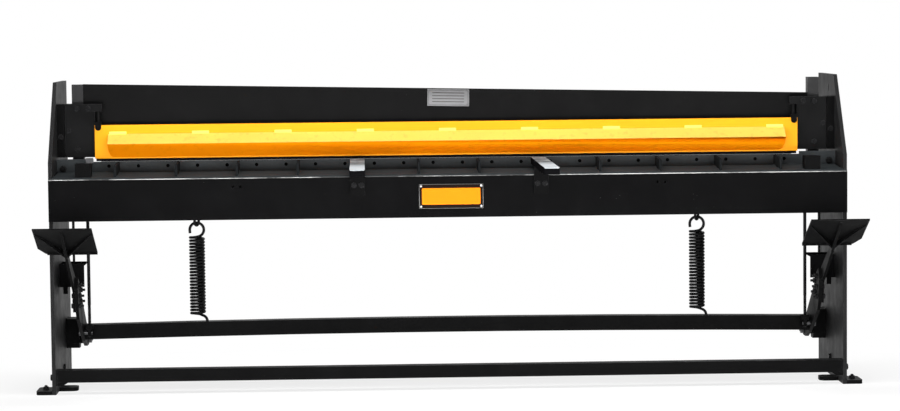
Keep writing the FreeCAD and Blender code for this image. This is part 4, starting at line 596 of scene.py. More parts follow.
class Shape:
    """A mesh in millimetres that is built with bmesh operators and then placed as one piece."""

    def __init__(self) -> None:
        """Starts an empty mesh."""
        self.mesh = bmesh.new()

    def take(self, part: bmesh.types.BMesh, start: Point | None = None, axis: Vector = UP) -> None:
        """Adds a small mesh, turned from +Z to an axis and moved to a start point.

        Args:
            part: The mesh, which is freed.
            start: Where its origin goes, or None to leave it in place.
            axis: Where its +Z points.
        """
        if start is not None:
            turn = Vector(axis).to_track_quat("Z", "Y").to_matrix().to_4x4()
            part.transform(Matrix.Translation(start) @ turn)
        data = bpy.data.meshes.new("part")
        part.to_mesh(data)
        part.free()
        self.mesh.from_mesh(data)
        bpy.data.meshes.remove(data)

    def block(self, low: Point, high: Point, bevel: float) -> None:
        """Adds a block between two corners.

        Args:
            low: Its lowest corner.
            high: Its highest corner.
            bevel: Width of its broken edges.
        """
        part = bmesh.new()
        bmesh.ops.create_cube(part, size=1.0)
        bmesh.ops.scale(part, vec=Vector(high) - Vector(low), verts=part.verts)
        bmesh.ops.translate(part, vec=(Vector(low) + Vector(high)) / 2, verts=part.verts)
        break_edges(part, bevel)
        self.take(part)

    def sheet(self, corners: list[Point]) -> None:
        """Adds a thin sheet panel with soft edges.

        Args:
            corners: Its corners, on its outer face.
        """
        face = self.mesh.faces.new([self.mesh.verts.new(corner) for corner in corners])
        bmesh.ops.solidify(self.mesh, geom=[face], thickness=2.4)
        bmesh.ops.recalc_face_normals(self.mesh, faces=self.mesh.faces)
        break_edges(self.mesh, 0.7)

    def lathe(self, profile: list[Pair], start: Point, axis: Vector, segments: int = 24) -> None:
        """Turns a profile round an axis.

        Args:
            profile: Pairs of radius and distance along the axis.
            start: Where the axis starts.
            axis: Its direction.
            segments: Steps of a full turn.
        """
        part = bmesh.new()
        verts = [part.verts.new((radius, 0.0, along)) for radius, along in profile]
        edges = [part.edges.new(pair) for pair in zip(verts, verts[1:])]
        bmesh.ops.spin(
            part, geom=verts + edges, axis=(0, 0, 1), cent=(0, 0, 0), angle=math.tau,
            steps=segments, use_merge=True,
        )
        bmesh.ops.remove_doubles(part, verts=part.verts, dist=0.001)
        self.take(part, start, axis)

    def hexagon(self, flats: float, height: float, start: Point, axis: Vector) -> None:
        """Adds a hexagonal head or nut with chamfered corners.

        Args:
            flats: Size across its flats.
            height: Its height along the axis.
            start: Centre of its seat.
            axis: Direction from the seat to its top.
        """
        chamfer = 0.07 * flats
        part = bmesh.new()
        bmesh.ops.create_circle(part, cap_ends=False, radius=flats / math.sqrt(3), segments=6)
        edges = part.edges[:]
        bmesh.ops.edgeloop_fill(part, edges=edges)
        for rise, scale in ((height - chamfer, 1.0), (chamfer, 0.88)):
            top = only_verts(bmesh.ops.extrude_edge_only(part, edges=edges)["geom"])
            edges = [edge for edge in part.edges if all(vert in top for vert in edge.verts)]
            bmesh.ops.translate(part, vec=(0, 0, rise), verts=top)
            bmesh.ops.scale(part, vec=(scale, scale, 1.0), verts=top)
        bmesh.ops.edgeloop_fill(part, edges=edges)
        self.take(part, start, axis)

    def thread(self, radius: float, pitch: float, length: float, start: Point, axis: Vector) -> None:
        """Adds a threaded bar whose ridges and grooves follow one another.

        Args:
            radius: Outer radius.
            pitch: Distance between ridges.
            length: Length of the bar.
            start: Where it starts.
            axis: Its direction.
        """
        root = radius - 0.55 * pitch
        profile = [(0.0, 0.0), (root, 0.0)]
        for turn in range(int(length / pitch)):
            profile += [(radius, (turn + 0.4) * pitch), (root, (turn + 0.9) * pitch)]
        profile += [(root, length), (0.0, length)]
        self.lathe(profile, start, axis, 16)

    def head(self, size: float, height: float, seat: Point, out: Vector) -> None:
        """Adds a hexagon with a washer under it.

        Args:
            size: Thread diameter.
            height: Height over the seat as a share of the size.
            seat: Where the washer sits.
            out: Direction from the seat outwards.
        """
        inner, outer, thick = size / 2, 1.05 * size, 0.14 * size
        washer = [
            (inner, 0.0), (outer - 0.3, 0.0), (outer, 0.3), (outer, thick), (inner, thick), (inner, 0.0),
        ]
        self.lathe(washer, seat, out)
        self.hexagon(1.6 * size, height * size - thick, Vector(seat) + out * thick, out)

    def nut(self, size: float, seat: Point, out: Vector) -> None:
        """Adds a nut on its washer, for a thread diameter, a seat and the direction from it outwards."""
        self.head(size, 0.8, seat, out)

    def bolt(self, size: float, reach: float, seat: Point, shank: Vector) -> None:
        """Adds a hexagon bolt with a washer under its head.

        Args:
            size: Thread diameter.
            reach: Length below the seat.
            seat: Where its head sits.
            shank: Direction of its shank.
        """
        self.head(size, 0.65, seat, -shank)
        self.thread(size / 2, 0.15 * size, reach, seat, shank)

    def bead(self, start: Point, end: Point, radius: float) -> None:
        """Adds a rippled weld bead between two points.

        Args:
            start: Its first end.
            end: Its other end.
            radius: Its radius.
        """
        path = Vector(end) - Vector(start)
        steps = max(4, round(path.length / (1.3 * radius)))
        profile = [(0.0, 0.0)]
        for step in range(steps + 1):
            swell = radius * (1.12 if step % 2 else 0.94)
            profile.append((swell, path.length * step / steps))
        profile.append((0.0, path.length))
        self.lathe(profile, start, path.normalized(), 8)

    def mirrored(self) -> None:
        """Adds the same shape on the other side of the machine."""
        copy = bmesh.ops.duplicate(self.mesh, geom=self.mesh.faces[:] + self.mesh.verts[:])["geom"]
        bmesh.ops.scale(self.mesh, vec=(-1, 1, 1), verts=only_verts(copy))

    def piece(
        self, name: str, finish: Finish, body: Body, slot: Slot, smooth: float = 32.0
    ) -> bpy.types.Object:
        """Turns the shape into a piece of the scene.

        Args:
            name: The piece's name.
            finish: Its finish.
            body: The body that it rides on.
            slot: The record's slot for its finish; not used.
            smooth: Edges blunter than this angle are shaded smooth.

        Returns:
            The piece's object.
        """
        bmesh.ops.translate(self.mesh, vec=(0, FRONT_SHIFT, 0), verts=self.mesh.verts)
        bmesh.ops.scale(self.mesh, vec=(MM, MM, MM), verts=self.mesh.verts)
        bmesh.ops.recalc_face_normals(self.mesh, faces=self.mesh.faces)
        data = bpy.data.meshes.new(name)
        self.mesh.to_mesh(data)
        self.mesh.free()
        data.shade_smooth()
        data.set_sharp_from_angle(angle=math.radians(smooth))
        return add_piece(name, data, finish, body)


def break_edges(mesh: bmesh.types.BMesh, width: float) -> None:
    """Rounds a small mesh's edges."""
    bmesh.ops.bevel(
        mesh, geom=mesh.edges[:], offset=width, affect="EDGES", segments=2, profile=0.5, material=-1
    )


def only_verts(items: list[object]) -> list[bmesh.types.BMVert]:
    """The vertices among what a bmesh operator returns."""
    return [item for item in items if isinstance(item, bmesh.types.BMVert)]


def add_piece(
    name: str, data: bpy.types.Mesh, finish: Finish, body: Body | None
) -> bpy.types.Object:
    """Puts a finished mesh into the scene on its body.

    Args:
        name: The piece's name.
        data: Its mesh, in metres and in place.
        finish: Its finish.
        body: The body that it rides on, or None for a piece that stretches between two.

    Returns:
        The piece's object.
    """
    piece = bpy.data.objects.new(name, data)
    bpy.context.scene.collection.objects.link(piece)
    data.materials.append(finish.material())
    if body:
        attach(piece, body.value)
    LOG.info("%s: %d faces", name, len(data.polygons))
    return piece


def weld(name: str, beads: list[Bead], body: Body, finish: Finish = COAT, twins: bool = True) -> None:
    """Builds weld beads as one piece.

    Args:
        name: The piece's name.
        beads: Each bead's two ends and its radius.
        body: The body that carries them.
        finish: Their finish.
        twins: Whether the left half has them too.
    """
    shape = Shape()
    for bead in beads:
        shape.bead(*bead)
    if twins:
        shape.mirrored()
    shape.piece(name, finish, body, Slot.COAT, 60.0)


class SubAssembly:
    """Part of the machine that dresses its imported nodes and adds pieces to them.

    Attributes:
        dressing: The finishes, each with the nodes that it goes on.
    """

    dressing: ClassVar[dict[Finish, tuple[str, ...]]] = {}

    def dress(self) -> None:
        """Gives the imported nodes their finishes."""
        for finish, nodes in self.dressing.items():
            for node in nodes:
                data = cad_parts[node].data
                data.materials.clear()
                data.materials.append(finish.material())
                LOG.info("%s: %s", node, finish.name)

    def model(self) -> None:
        """Builds the sub-assembly's own pieces."""
        raise NotImplementedError

    def build(self) -> None:
        """Dresses the nodes and builds the pieces."""
        self.dress()
        self.model()


@dataclass
class Stand(SubAssembly):
    """Side plates, feet, stretcher and rear cross member.

    Attributes:
        x_in: Inner face of the right side plate.
        x_out: Its outer face.
        foot_thick: Thickness of the foot lugs.
        bead: Radius of the larger weld beads.
    """

    dressing = {
        COAT: ("foot_lugs", "base_stretcher", "stretcher_end_plates", "rear_cross_member"),
        SIDE_COAT: ("left_side_plate", "right_side_plate"),
    }
    x_in: float = 1423.0
    x_out: float = 1437.0
    foot_thick: float = 14.0
    bead: float = 3.0

    def model(self) -> None:
        """Builds the beads between feet, plates and cross member."""
        inner, outer, top, bead = self.x_in, self.x_out, self.foot_thick, self.bead
        weld("stand_welds", [
            ((outer, 3, top), (outer, 117, top), bead),
            ((inner, 102, top), (inner, 164, top), bead),
            *(((inner, 268, z), (inner, 312, z), bead) for z in (640, 700)),
            *(((inner, y, 643), (inner, y, 697), bead) for y in (265, 315)),
            ((inner - 9, 3, 44), (inner - 40, 3, 44), 1.8),
            ((inner, 66, 786.1), (inner, 160, 792.7), bead),
            ((inner, 188, 760), (inner, 212, 760), bead),
            ((inner, 215, 763), (inner, 215, 827), bead),
        ], Body.FRAME)


@dataclass
class CuttingTable(SubAssembly):
    """Apron, table bar, gussets, lower blade and support arms.

    Attributes:
        gussets: X of the gussets.
        ledge: Height of the apron's ledge at the bar.
        fall: How far the ledge falls from the bar to the front.
        bar_y: Front face of the table bar.
        arm_x: X of the right support arm.
        spare_x: X of the right pair of spare arm holes.
        hole_z: Height of the arm holes in the apron.
        hole_offset: Distance of a hole from the middle of its pair.
    """

    dressing = {
        COAT: ("arm_brackets", "table_end_brackets", "table_end_blocks"),
        GUSSET_PAINTED_LIGHT_COAT: ("table_gussets",),
        LEDGE_COAT: ("apron",),
        TABLE_PAINTED_LIGHT_COAT: ("table_bar", "table_end_rails"),
        SHADED_BLADE_STEEL: ("lower_blade",),
        ARM_STEEL: ("support_arms",),
        PAD_STEEL: ("side_gauge_pad",),
        PAINTED_SHADE_OXIDE: ("lower_blade_screws",),
    }
    gussets: tuple[float, ...] = tuple((index - 5.5) * 218.0 for index in range(12))
    ledge: float = 793.0
    fall: float = 11.5
    bar_y: float = 165.0
    arm_x: float = 330.0
    spare_x: float = 763.5
    hole_z: float = 744.5
    hole_offset: float = 13.5

    def on_ledge(self, x: float, y: float) -> Point:
        """The ledge's surface at a place."""
        return x, y, self.ledge - (self.bar_y - y) * self.fall / self.bar_y

    def hole_pair(self, middle: float) -> Pair:
        """X of the two arm holes round a middle."""
        return middle - self.hole_offset, middle + self.hole_offset

    def model(self) -> None:
        """Builds the beads that hold the gussets and the bar on the ledge."""
        beads = []
        for x in self.gussets:
            under_arm = abs(abs(x) - self.arm_x) < 30.0
            for face in (x - 4.0, x + 4.0):
                for front, rear in ((16.0, 60.0), (104.0, 160.0)):
                    beads.append((self.on_ledge(face, front), self.on_ledge(face, rear), 1.7))
                if not under_arm:
                    beads.append(((face, self.bar_y, 796), (face, self.bar_y, 824), 1.2))
        for x in range(-1260, 1261, 210):
            beads.append(((x - 22, self.bar_y, self.ledge), (x + 22, self.bar_y, self.ledge), 2.0))
        weld("table_welds", beads, Body.FRAME, TABLE_PAINTED_LIGHT_COAT, twins=False)


@dataclass
class Guides(SubAssembly):
    """Guides, stop brackets and pivot blocks on the side plates.

    Attributes:
        stand: The stand that carries them.
    """

    dressing = {
        GUIDE_COAT: ("guide_covers", "guide_blocks", "hanger_lugs"),
        COAT: ("guide_keepers", "gib_strips", "pivot_blocks"),
        SHADE_COAT: ("stop_brackets",),
        BRONZE: ("guide_liners",),
        PIN_STEEL: ("pivot_pins", "pivot_collars"),
        OXIDE: ("spring_eye_bolts",),
    }
    stand: Stand

    def model(self) -> None:
        """Builds the beads round the pivot blocks and along the stop brackets."""
        x = self.stand.x_in
        weld("side_fitting_welds", [
            ((x, 363, 236), (x, 437, 236), 3.0),
            *(((x, y, 148), (x, y, 233), 3.0) for y in (360, 440)),
            ((x, 186, 458), (x, 276, 458), 2.4),
            *(((x, y, 376), (x, y, 455), 2.4) for y in (280, 175)),
        ], Body.FRAME)


@dataclass
class Beam(SubAssembly):
    """Raked beam with the upper blade, slides and rods.

    Attributes:
        rod_y: Y of the pull and stop rods.
        pull_x: X of the right pull rod.
        stop_x: X of the right stop rod.
        rod_top: Upper end of the rods.
        rear: Rear face of the beam.
        low_edge: Height of the cutting edge at its right end.
        half: Half the blade's length.
        rake: Rise of the edge towards the left, in degrees.
        ribs: X of the stiffening ribs.
    """

    dressing = {
        BEAM_COAT: ("blade_beam", "beam_flange", "beam_ribs"),
        COAT: ("crossheads", "rod_ends"),
        SLIDE_COAT: ("slides",),
        BLADE_STEEL: ("upper_blade",),
        OXIDE: ("upper_blade_screws",),
        PIN_STEEL: ("rod_pins",),
    }
    rod_y: float = 242.0
    pull_x: float = 1323.0
    stop_x: float = 1376.0
    rod_top: float = 720.0
    rear: float = 225.0
    low_edge: float = 842.0
    half: float = 1265.0
    rake: float = 1.245
    ribs: tuple[float, ...] = (-860.0, -430.0, 0.0, 430.0, 860.0)

    def edge(self, x: float) -> float:
        """Height of the cutting edge at a place along the beam."""
        return self.low_edge + (self.half - x) * math.tan(math.radians(self.rake))

    def rod(self, x: float, radius: float, low: float, plain: Pair) -> Shape:
        """A rod that is threaded at both ends and plain between.

        Args:
            x: Its place along the machine.
            radius: Its radius.
            low: Its lower end.
            plain: Lower and upper end of its plain part.

        Returns:
            The shape, with its twin on the other side.
        """
        shape = Shape()
        pitch = 0.15 * 2 * radius
        bottom, top = plain
        shape.thread(radius, pitch, bottom - low, (x, self.rod_y, low), UP)
        body = [(0.0, 0.0), (radius, 0.0), (radius, top - bottom), (0.0, top - bottom)]
        shape.lathe(body, (x, self.rod_y, bottom), UP)
        shape.thread(radius, pitch, self.rod_top - top, (x, self.rod_y, top), UP)
        shape.mirrored()
        return shape

    def rods(self) -> None:
        """Builds the pull rods and the stop rods with their threads."""
        pull = self.rod(self.pull_x, 6.0, 230.2, (300.0, 620.0))
        piece = pull.piece("threaded_pull_rods", OXIDE, Body.BEAM, Slot.OXIDE, 50.0)
        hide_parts("pull_rods")
        stop = self.rod(self.stop_x, 5.0, 395.0, (560.0, 650.0))
        piece = stop.piece("threaded_stop_rods", OXIDE, Body.BEAM, Slot.OXIDE, 50.0)
        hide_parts("stop_rods")

    def welds(self) -> None:
        """Builds the beads of the stiffening flange and its ribs."""
        beads = []
        for middle in range(-1200, 1201, 150):
            for rise in (106.5, 116.5):
                start, end = ((x, self.rear, self.edge(x) + rise) for x in (middle - 25.0, middle + 25.0))
                beads.append((start, end, 2.0))
        for x in self.ribs:
            z = self.edge(x)
            for face in (x - 4.0, x + 4.0):
                beads.append(((face, self.rear, z + 122), (face, self.rear, z + 196), 1.8))
        weld("beam_welds", beads, Body.BEAM, twins=False)

    def model(self) -> None:
        """Builds rods and welds."""
        self.rods()
        self.welds()


@dataclass
class GuardAndHoldDown(SubAssembly):
    """Hold-down bar with the yellow guard in front of it.

    Attributes:
        half: Half the lip's length.
        corner: The lip's end as cuts from its length, each with its share of the way down.
        top: Y and Z of the lip's upper rear edge.
        apex: Y and Z of its front edge.
        foot: Y and Z of its lower rear edge.
        tabs: X of the tabs along the top.
    """

    dressing = {
        COAT: ("hold_down_bar", "hanger_blocks"),
        GUARD: ("guard_plate",),
        SPRING_OXIDE: ("hanger_rods",),
    }
    half: float = 1235.0
    corner: tuple[Pair, ...] = ((0.0, 0.0), (2.0, 0.55), (8.0, 0.85), (18.0, 1.0))
    top: Pair = (167.0, 931.0)
    apex: Pair = (120.0, 896.0)
    foot: Pair = (167.0, 846.5)
    tabs: tuple[float, ...] = tuple((index - 4) * 300.0 for index in range(9))

    def pressing_strip(self) -> None:
        """Builds the thin rubber strip that keeps the sheet from slipping under the bar."""
        shape = Shape()
        shape.block((-1262.0, 170.2, 831.6), (1262.0, 189.8, 832.5), 0.2)
        shape.piece("pressing_strip", RUBBER, Body.HOLD_DOWN, Slot.COAT)

    def crest(self) -> None:
        """Builds the lip's upper face with its tabs, in a lighter yellow: painted light where the face
        looks up.
        """
        half = self.half
        shape = Shape()
        shape.sheet([(-half, *self.top), (half, *self.top), (half, *self.apex), (-half, *self.apex)])
        for x in self.tabs:
            shape.block((x - 31, 164.0, 929.0), (x + 31, 167.0, 940.0), 0.8)
        piece = shape.piece("guard_crest", GUARD_CREST_PAINTED_LIGHT, Body.HOLD_DOWN, Slot.GUARD)
        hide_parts("guard_lip")

    def under_face(self) -> None:
        """Builds the lip's face below the crest, in a deeper orange: painted shade where the face looks
        down.
        """
        shape = Shape()
        apex, foot = Vector((0.0, *self.apex)), Vector((0.0, *self.foot))
        right = [apex.lerp(foot, down) + Vector((self.half - back, 0, 0)) for back, down in self.corner]
        left = [Vector((-point.x, point.y, point.z)) for point in reversed(right)]
        shape.sheet(right + left)
        shape.piece("guard_under_face", GUARD_UNDER_PAINTED_SHADE, Body.HOLD_DOWN, Slot.GUARD)

    def model(self) -> None:
        """Builds the guard's lip and the strip below the bar."""
        self.pressing_strip()
        self.crest()
        self.under_face()


@dataclass
class Treadle(SubAssembly):
    """Treadle bar, levers, pedal arms and pedals.

    Attributes:
        lever_x: Inner face of the right lever.
        lever_thick: Its thickness at the clamp.
        plate: Thickness of the lever's plate.
        hub: Y and Z of the hub's middle.
        hub_radius: Radius of the weld round the hub.
        slope: Slope of the pedal arm, in degrees.
        clamp: Y and Z of the clamp's middle.
        head: Size of the lever's head.
        clamp_places: The clamp bolts as shares of the lever's head, along the slope and above it.
        pedal_root: Y and Z of the pedal's rear edge, underneath.
    """

    dressing = {COAT: ("treadle_bar", "treadle_levers", "pedal_arms", "pedals")}
    lever_x: float = 1343.0
    lever_thick: float = 22.0
    plate: float = 12.0
    hub: Pair = (400.0, 162.0)
    hub_radius: float = 22.5
    slope: float = 26.0
    clamp: Pair = (105.0, 350.0)
    head: float = 68.0
    clamp_places: tuple[Pair, ...] = (
        (0.32, 0.44), (-0.29, 0.41), (0.06, -0.06), (-0.41, -0.18), (0.03, -0.62),
    )
    pedal_root: Pair = (-131.9, 521.2)

    def up_slope(self, origin: Pair, along: float, above: float) -> Pair:
        """Y and Z of a place on the pedal arm's slope.

        Args:
            origin: Y and Z of where the distances start.
            along: Distance towards the pedal's front.
            above: Distance square to the slope.

        Returns:
            Y and Z.
        """
        slope = math.radians(self.slope)
        y = origin[0] - along * math.cos(slope) + above * math.sin(slope)
        return y, origin[1] + along * math.sin(slope) + above * math.cos(slope)

    def clamp_bolt(self, place: Pair) -> Pair:
        """Y and Z of a clamp bolt."""
        along, above = place
        return self.up_slope(self.clamp, along * self.head, above * self.head)

    def model(self) -> None:
        """Builds the beads of hub, bar and pedal."""
        x = self.lever_x
        beads = [((x, y, 170), (x, y, 219), 2.6) for y in (280, 330)]
        beads += [((x, 283, z), (x, 327, z), 2.6) for z in (167.5, 222.0)]
        ring = [
            (x + self.plate, self.hub[0] + self.hub_radius * math.cos(math.radians(turn)),
             self.hub[1] + self.hub_radius * math.sin(math.radians(turn)))
            for turn in range(0, 361, 20)
        ]
        beads += [(first, second, 2.2) for first, second in zip(ring, ring[1:])]
        for face in (x + self.plate, x + self.lever_thick):
            for back in (16.0, 76.0, 136.0):
                start, end = (self.up_slope(self.pedal_root, along, -0.4) for along in (back, back + 34.0))
                beads.append(((face, *start), (face, *end), 1.8))
        weld("treadle_welds", beads, Body.TREADLE)


@dataclass
class ReturnSprings(SubAssembly):
    """The two return springs, each one wire from tail to hook.

    Attributes:
        x: Distance of a spring's axis from the middle.
        y: Y of the axis.
        wire: Wire diameter.
        radius: Radius of the coil's centre line.
        turns: Full turns of the coil.
        pitch: Rise of one turn.
        hook_z: Height of the hook's centre.
        hook_radius: Radius of the hook's centre line.
        hook_rise: Distance from the coil's top to the hook's centre.
        tail_x: Distance of the tail from the axis.
        tail_z: Height where the tail enters the treadle bar.
        stretch: Heights above the treadle bar between which the coil opens as the treadle turns. Higher
            up, the bar's turn would swing the coil out of line.
    """

    x: float = 927.0
    y: float = 290.0
    wire: float = 10.3
    radius: float = 24.7
    turns: int = 24
    pitch: float = 11.7
    hook_z: float = 569.0
    hook_radius: float = 26.0
    hook_rise: float = 28.5
    tail_x: float = 34.0
    tail_z: float = 228.5
    stretch: Pair = (130.0, 8.0)

    def coil(self, quarters: int) -> Station:
        """A place on the coil.

        Args:
            quarters: Quarter turns up from its foot.

        Returns:
            Point and direction.
        """
        angle = math.pi + quarters * math.pi / 2
        low = self.hook_z - self.hook_rise - self.turns * self.pitch
        x, y = self.radius * math.cos(angle), self.radius * math.sin(angle)
        point = Vector((x, y, low + quarters * self.pitch / 4))
        return point, Vector((-y, x, self.pitch / math.tau)).normalized()

    def hook(self, degrees: float) -> Station:
        """A place on the upright hook.

        Args:
            degrees: Turn round the hook's centre, from +X.

        Returns:
            Point and direction.
        """
        angle = math.radians(degrees)
        x, rise = self.hook_radius * math.cos(angle), self.hook_radius * math.sin(angle)
        return Vector((x, 0.0, self.hook_z + rise)), Vector((-math.sin(angle), 0.0, math.cos(angle)))

    def stations(self) -> list[Station]:
        """The wire's route.

        Returns:
            Points and directions from its tail to the hook's end.
        """
        foot = self.coil(0)[0].z
        head = self.coil(4 * self.turns)[0].z
        r = self.radius
        bends = [
            ((r * 0.78, r * 0.35, foot - 10.5), (-0.93, 0.25, 0.3)),
            ((0, r * 0.86, foot - 5.0), (-1, 0, 0.12)),
            ((-r * 0.12, -r * 0.6, head + 2.6), (0.96, 0.12, 0.2)),
        ]
        first, second, third = ((Vector(point), Vector(ahead).normalized()) for point, ahead in bends)
        route = [(Vector((self.tail_x, 0, z)), UP) for z in (self.tail_z - 16.0, self.tail_z)]
        route += [first, second]
        route += [self.coil(quarters) for quarters in range(4 * self.turns + 1)]
        route += [third, *(self.hook(degrees) for degrees in (-50, 28, 106, 185))]
        end, out = route[-1]
        return [*route, (end + out * self.wire, out)]

    def handle(self, here: Station, other: Station | None) -> float:
        """Length of a knot's handle towards a neighbour, as for a circle's arc.

        Args:
            here: Point and direction of the knot.
            other: Those of its neighbour, or None at an end of the wire.

        Returns:
            The handle's length.
        """
        if other is None:
            return 1.0
        bend = here[1].angle(other[1])
        return (other[0] - here[0]).length / (3 * math.cos(bend / 4) ** 2)

    def wire_curve(self, side: Side) -> bpy.types.Object:
        """The wire as a round curve, in metres and in place.

        Args:
            side: The side of the machine.

        Returns:
            The curve's object.
        """
        curve = bpy.data.curves.new("spring_wire", "CURVE")
        curve.dimensions = "3D"
        curve.bevel_depth = self.wire / 2 * MM
        curve.bevel_resolution = 4
        curve.resolution_u = 7
        curve.use_fill_caps = True
        route = self.stations()
        spline = curve.splines.new("BEZIER")
        spline.bezier_points.add(len(route) - 1)
        centre = Vector((side.x(self.x), self.y, 0.0))
        before, after = [None, *route], [*route[1:], None]
        for knot, here, last, following in zip(spline.bezier_points, route, before, after):
            point, ahead = here
            knot.handle_left_type = "FREE"
            knot.handle_right_type = "FREE"
            knot.co = metres(point + centre)
            knot.handle_left = metres(point - ahead * self.handle(here, last) + centre)
            knot.handle_right = metres(point + ahead * self.handle(here, following) + centre)
        return bpy.data.objects.new("spring_wire", curve)

    def model(self) -> None:
        """Builds both springs as pieces on no body, in place of the imported ones."""
        for side in Side:
            wire = self.wire_curve(side)
            data = bpy.data.meshes.new_from_object(wire)
            bpy.data.objects.remove(wire)
            data.shade_smooth()
            name = f"{side.name.lower()}_spring_wire"
            piece = add_piece(name, data, SPRING_OXIDE, None)
            start, end = (metres((side.x(self.x), self.y, self.tail_z + rise)) for rise in self.stretch)
            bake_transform(piece)
            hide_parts(f"{side.name.lower()}_return_spring")


@dataclass
class Fasteners(SubAssembly):
    """Bolts, nuts and studs, with chamfered heads, washers and threads.

    Attributes:
        stand: The stand, for the places of its bolts.
        table: The table, for its arm holes and its bar.
        beam: The beam, for its rods.
        treadle: The treadle, for its clamp bolts.
        springs: The springs, for their eyes.
    """

    stand: Stand
    table: CuttingTable
    beam: Beam
    treadle: Treadle
    springs: ReturnSprings

    def guide_bolts(self) -> None:
        """Builds the bolts of the two guides."""
        shape = Shape()
        long_bolts, short_bolts = ((1381.15, 943.75), (1409.0, 922.5)), ((1348.5, 876.0), (1348.5, 1023.1))
        for places, reach in ((long_bolts, 38.0), (short_bolts, 23.0)):
            for x, z in places:
                shape.bolt(10.0, reach, (x, 180.0, z), BACK)
        for z in (879.9, 1007.6):
            shape.bolt(10.0, 32.0, (1396.15, 265.6, z), -BACK)
        shape.bolt(10.0, 28.0, (1306.5, 168.0, 1026.75), BACK)
        shape.mirrored()
        piece = shape.piece("guide_hex_bolts", OXIDE, Body.FRAME, Slot.OXIDE)
        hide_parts("guide_bolts")

    def clamp_bolts(self) -> None:
        """Builds the bolts that clamp the pedal arms."""
        shape = Shape()
        inner = self.treadle.lever_x
        outer = inner + self.treadle.lever_thick
        for place in self.treadle.clamp_places:
            y, z = self.treadle.clamp_bolt(place)
            shape.bolt(10.0, 39.0, (outer, y, z), INWARD)
            shape.nut(10.0, (inner, y, z), INWARD)
        shape.mirrored()
        piece = shape.piece("clamp_hex_bolts", OXIDE, Body.TREADLE, Slot.OXIDE)
        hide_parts("clamp_bolts")

    def arm_bolts(self) -> None:
        """Builds the bolts of the support arms' brackets."""
        shape = Shape()
        for x in self.table.hole_pair(self.table.arm_x):
            shape.bolt(10.0, 28.0, (x, -18.0, self.table.hole_z), BACK)
            shape.nut(10.0, (x, 0.0, self.table.hole_z), BACK)
        shape.bolt(10.0, 22.0, (self.table.arm_x, -50.0, 796.0), UP)
        shape.mirrored()
        piece = shape.piece("arm_hex_bolts", OXIDE, Body.FRAME, Slot.OXIDE)
        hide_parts("arm_bolts")

    def stand_bolts(self) -> None:
        """Builds the stretcher's bolts and the levelling studs."""
        shape = Shape()
        shape.bolt(12.0, 29.6, (self.stand.x_out, 25.0, 60.5), INWARD)
        shape.nut(12.0, (self.stand.x_in - 6.0, 25.0, 60.5), INWARD)
        shape.bolt(12.0, 14.0, (self.stand.x_in, 268.0, 68.0), OUTWARD)
        shape.mirrored()
        piece = shape.piece("stretcher_hex_bolts", OXIDE, Body.FRAME, Slot.OXIDE)
        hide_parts("stretcher_bolts")
        studs = Shape()
        studs.thread(6.0, 1.75, 27.6, (1466.0, 60.0, 1.0), UP)
        studs.nut(12.0, (1466.0, 60.0, self.stand.foot_thick), UP)
        studs.mirrored()
        piece = studs.piece("threaded_studs", OXIDE, Body.FRAME, Slot.OXIDE, 50.0)
        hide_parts("levelling_studs")

    def weld_nuts(self) -> None:
        """Builds the closed weld nuts behind the spare arm holes, with their bores open to the front."""
        shape = Shape()
        cup = [
            (5.0, 0.0), (8.6, 0.0), (8.6, 11.0), (7.0, 14.5), (0.0, 15.5), (0.0, 13.0), (4.3, 12.6),
            (5.0, 11.0), (5.0, 0.0),
        ]
        for x in self.table.hole_pair(self.table.spare_x):
            shape.lathe(cup, (x, 0.0, self.table.hole_z), BACK, 20)
        shape.mirrored()
        shape.piece("spare_hole_weld_nuts", COAT, Body.FRAME, Slot.COAT)

    def table_bolts(self) -> None:
        """Builds the table's end bolts and the socket screws of the end blocks."""
        shape = Shape()
        shape.bolt(12.0, 44.0, (1400.2, self.table.bar_y, 806.0), BACK)
        cap = [
            (0.0, 5.0), (4.2, 5.0), (4.4, 9.4), (5.2, 9.9), (6.9, 9.9), (7.5, 9.3), (7.5, 0.0),
            (5.0, 0.0), (5.0, -35.0), (0.0, -35.0),
        ]
        shape.lathe(cap, (1313.5, 33.5, 821.0), UP)
        shape.mirrored()
        piece = shape.piece("table_hex_bolts", OXIDE, Body.FRAME, Slot.OXIDE)
        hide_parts("table_bolts")

    def rod_nuts(self) -> None:
        """Builds the nuts on the rods."""
        shape = Shape()
        pull_x, stop_x = self.beam.pull_x, self.beam.stop_x
        for size, x, z in ((12.0, pull_x, 700.0), (10.0, stop_x, 700.0), (10.0, stop_x, 449.7)):
            shape.nut(size, (x, self.beam.rod_y, z), DOWN)
        shape.mirrored()
        piece = shape.piece("rod_hex_nuts", OXIDE, Body.BEAM, Slot.OXIDE)
        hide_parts("rod_nuts")

    def eye_nuts(self) -> None:
        """Builds the nuts on the spring eyes, below and above the cross member."""
        shape = Shape()
        for z, out in ((640.0, DOWN), (700.0, UP)):
            shape.nut(12.0, (self.springs.x, self.springs.y, z), out)
        shape.mirrored()
        piece = shape.piece("eye_hex_nuts", OXIDE, Body.FRAME, Slot.OXIDE)
        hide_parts("spring_eye_nuts")

    def model(self) -> None:
        """Builds every set of fasteners."""
        self.guide_bolts()
        self.clamp_bolts()
        self.arm_bolts()
        self.stand_bolts()
        self.table_bolts()
        self.weld_nuts()
        self.rod_nuts()
        self.eye_nuts()


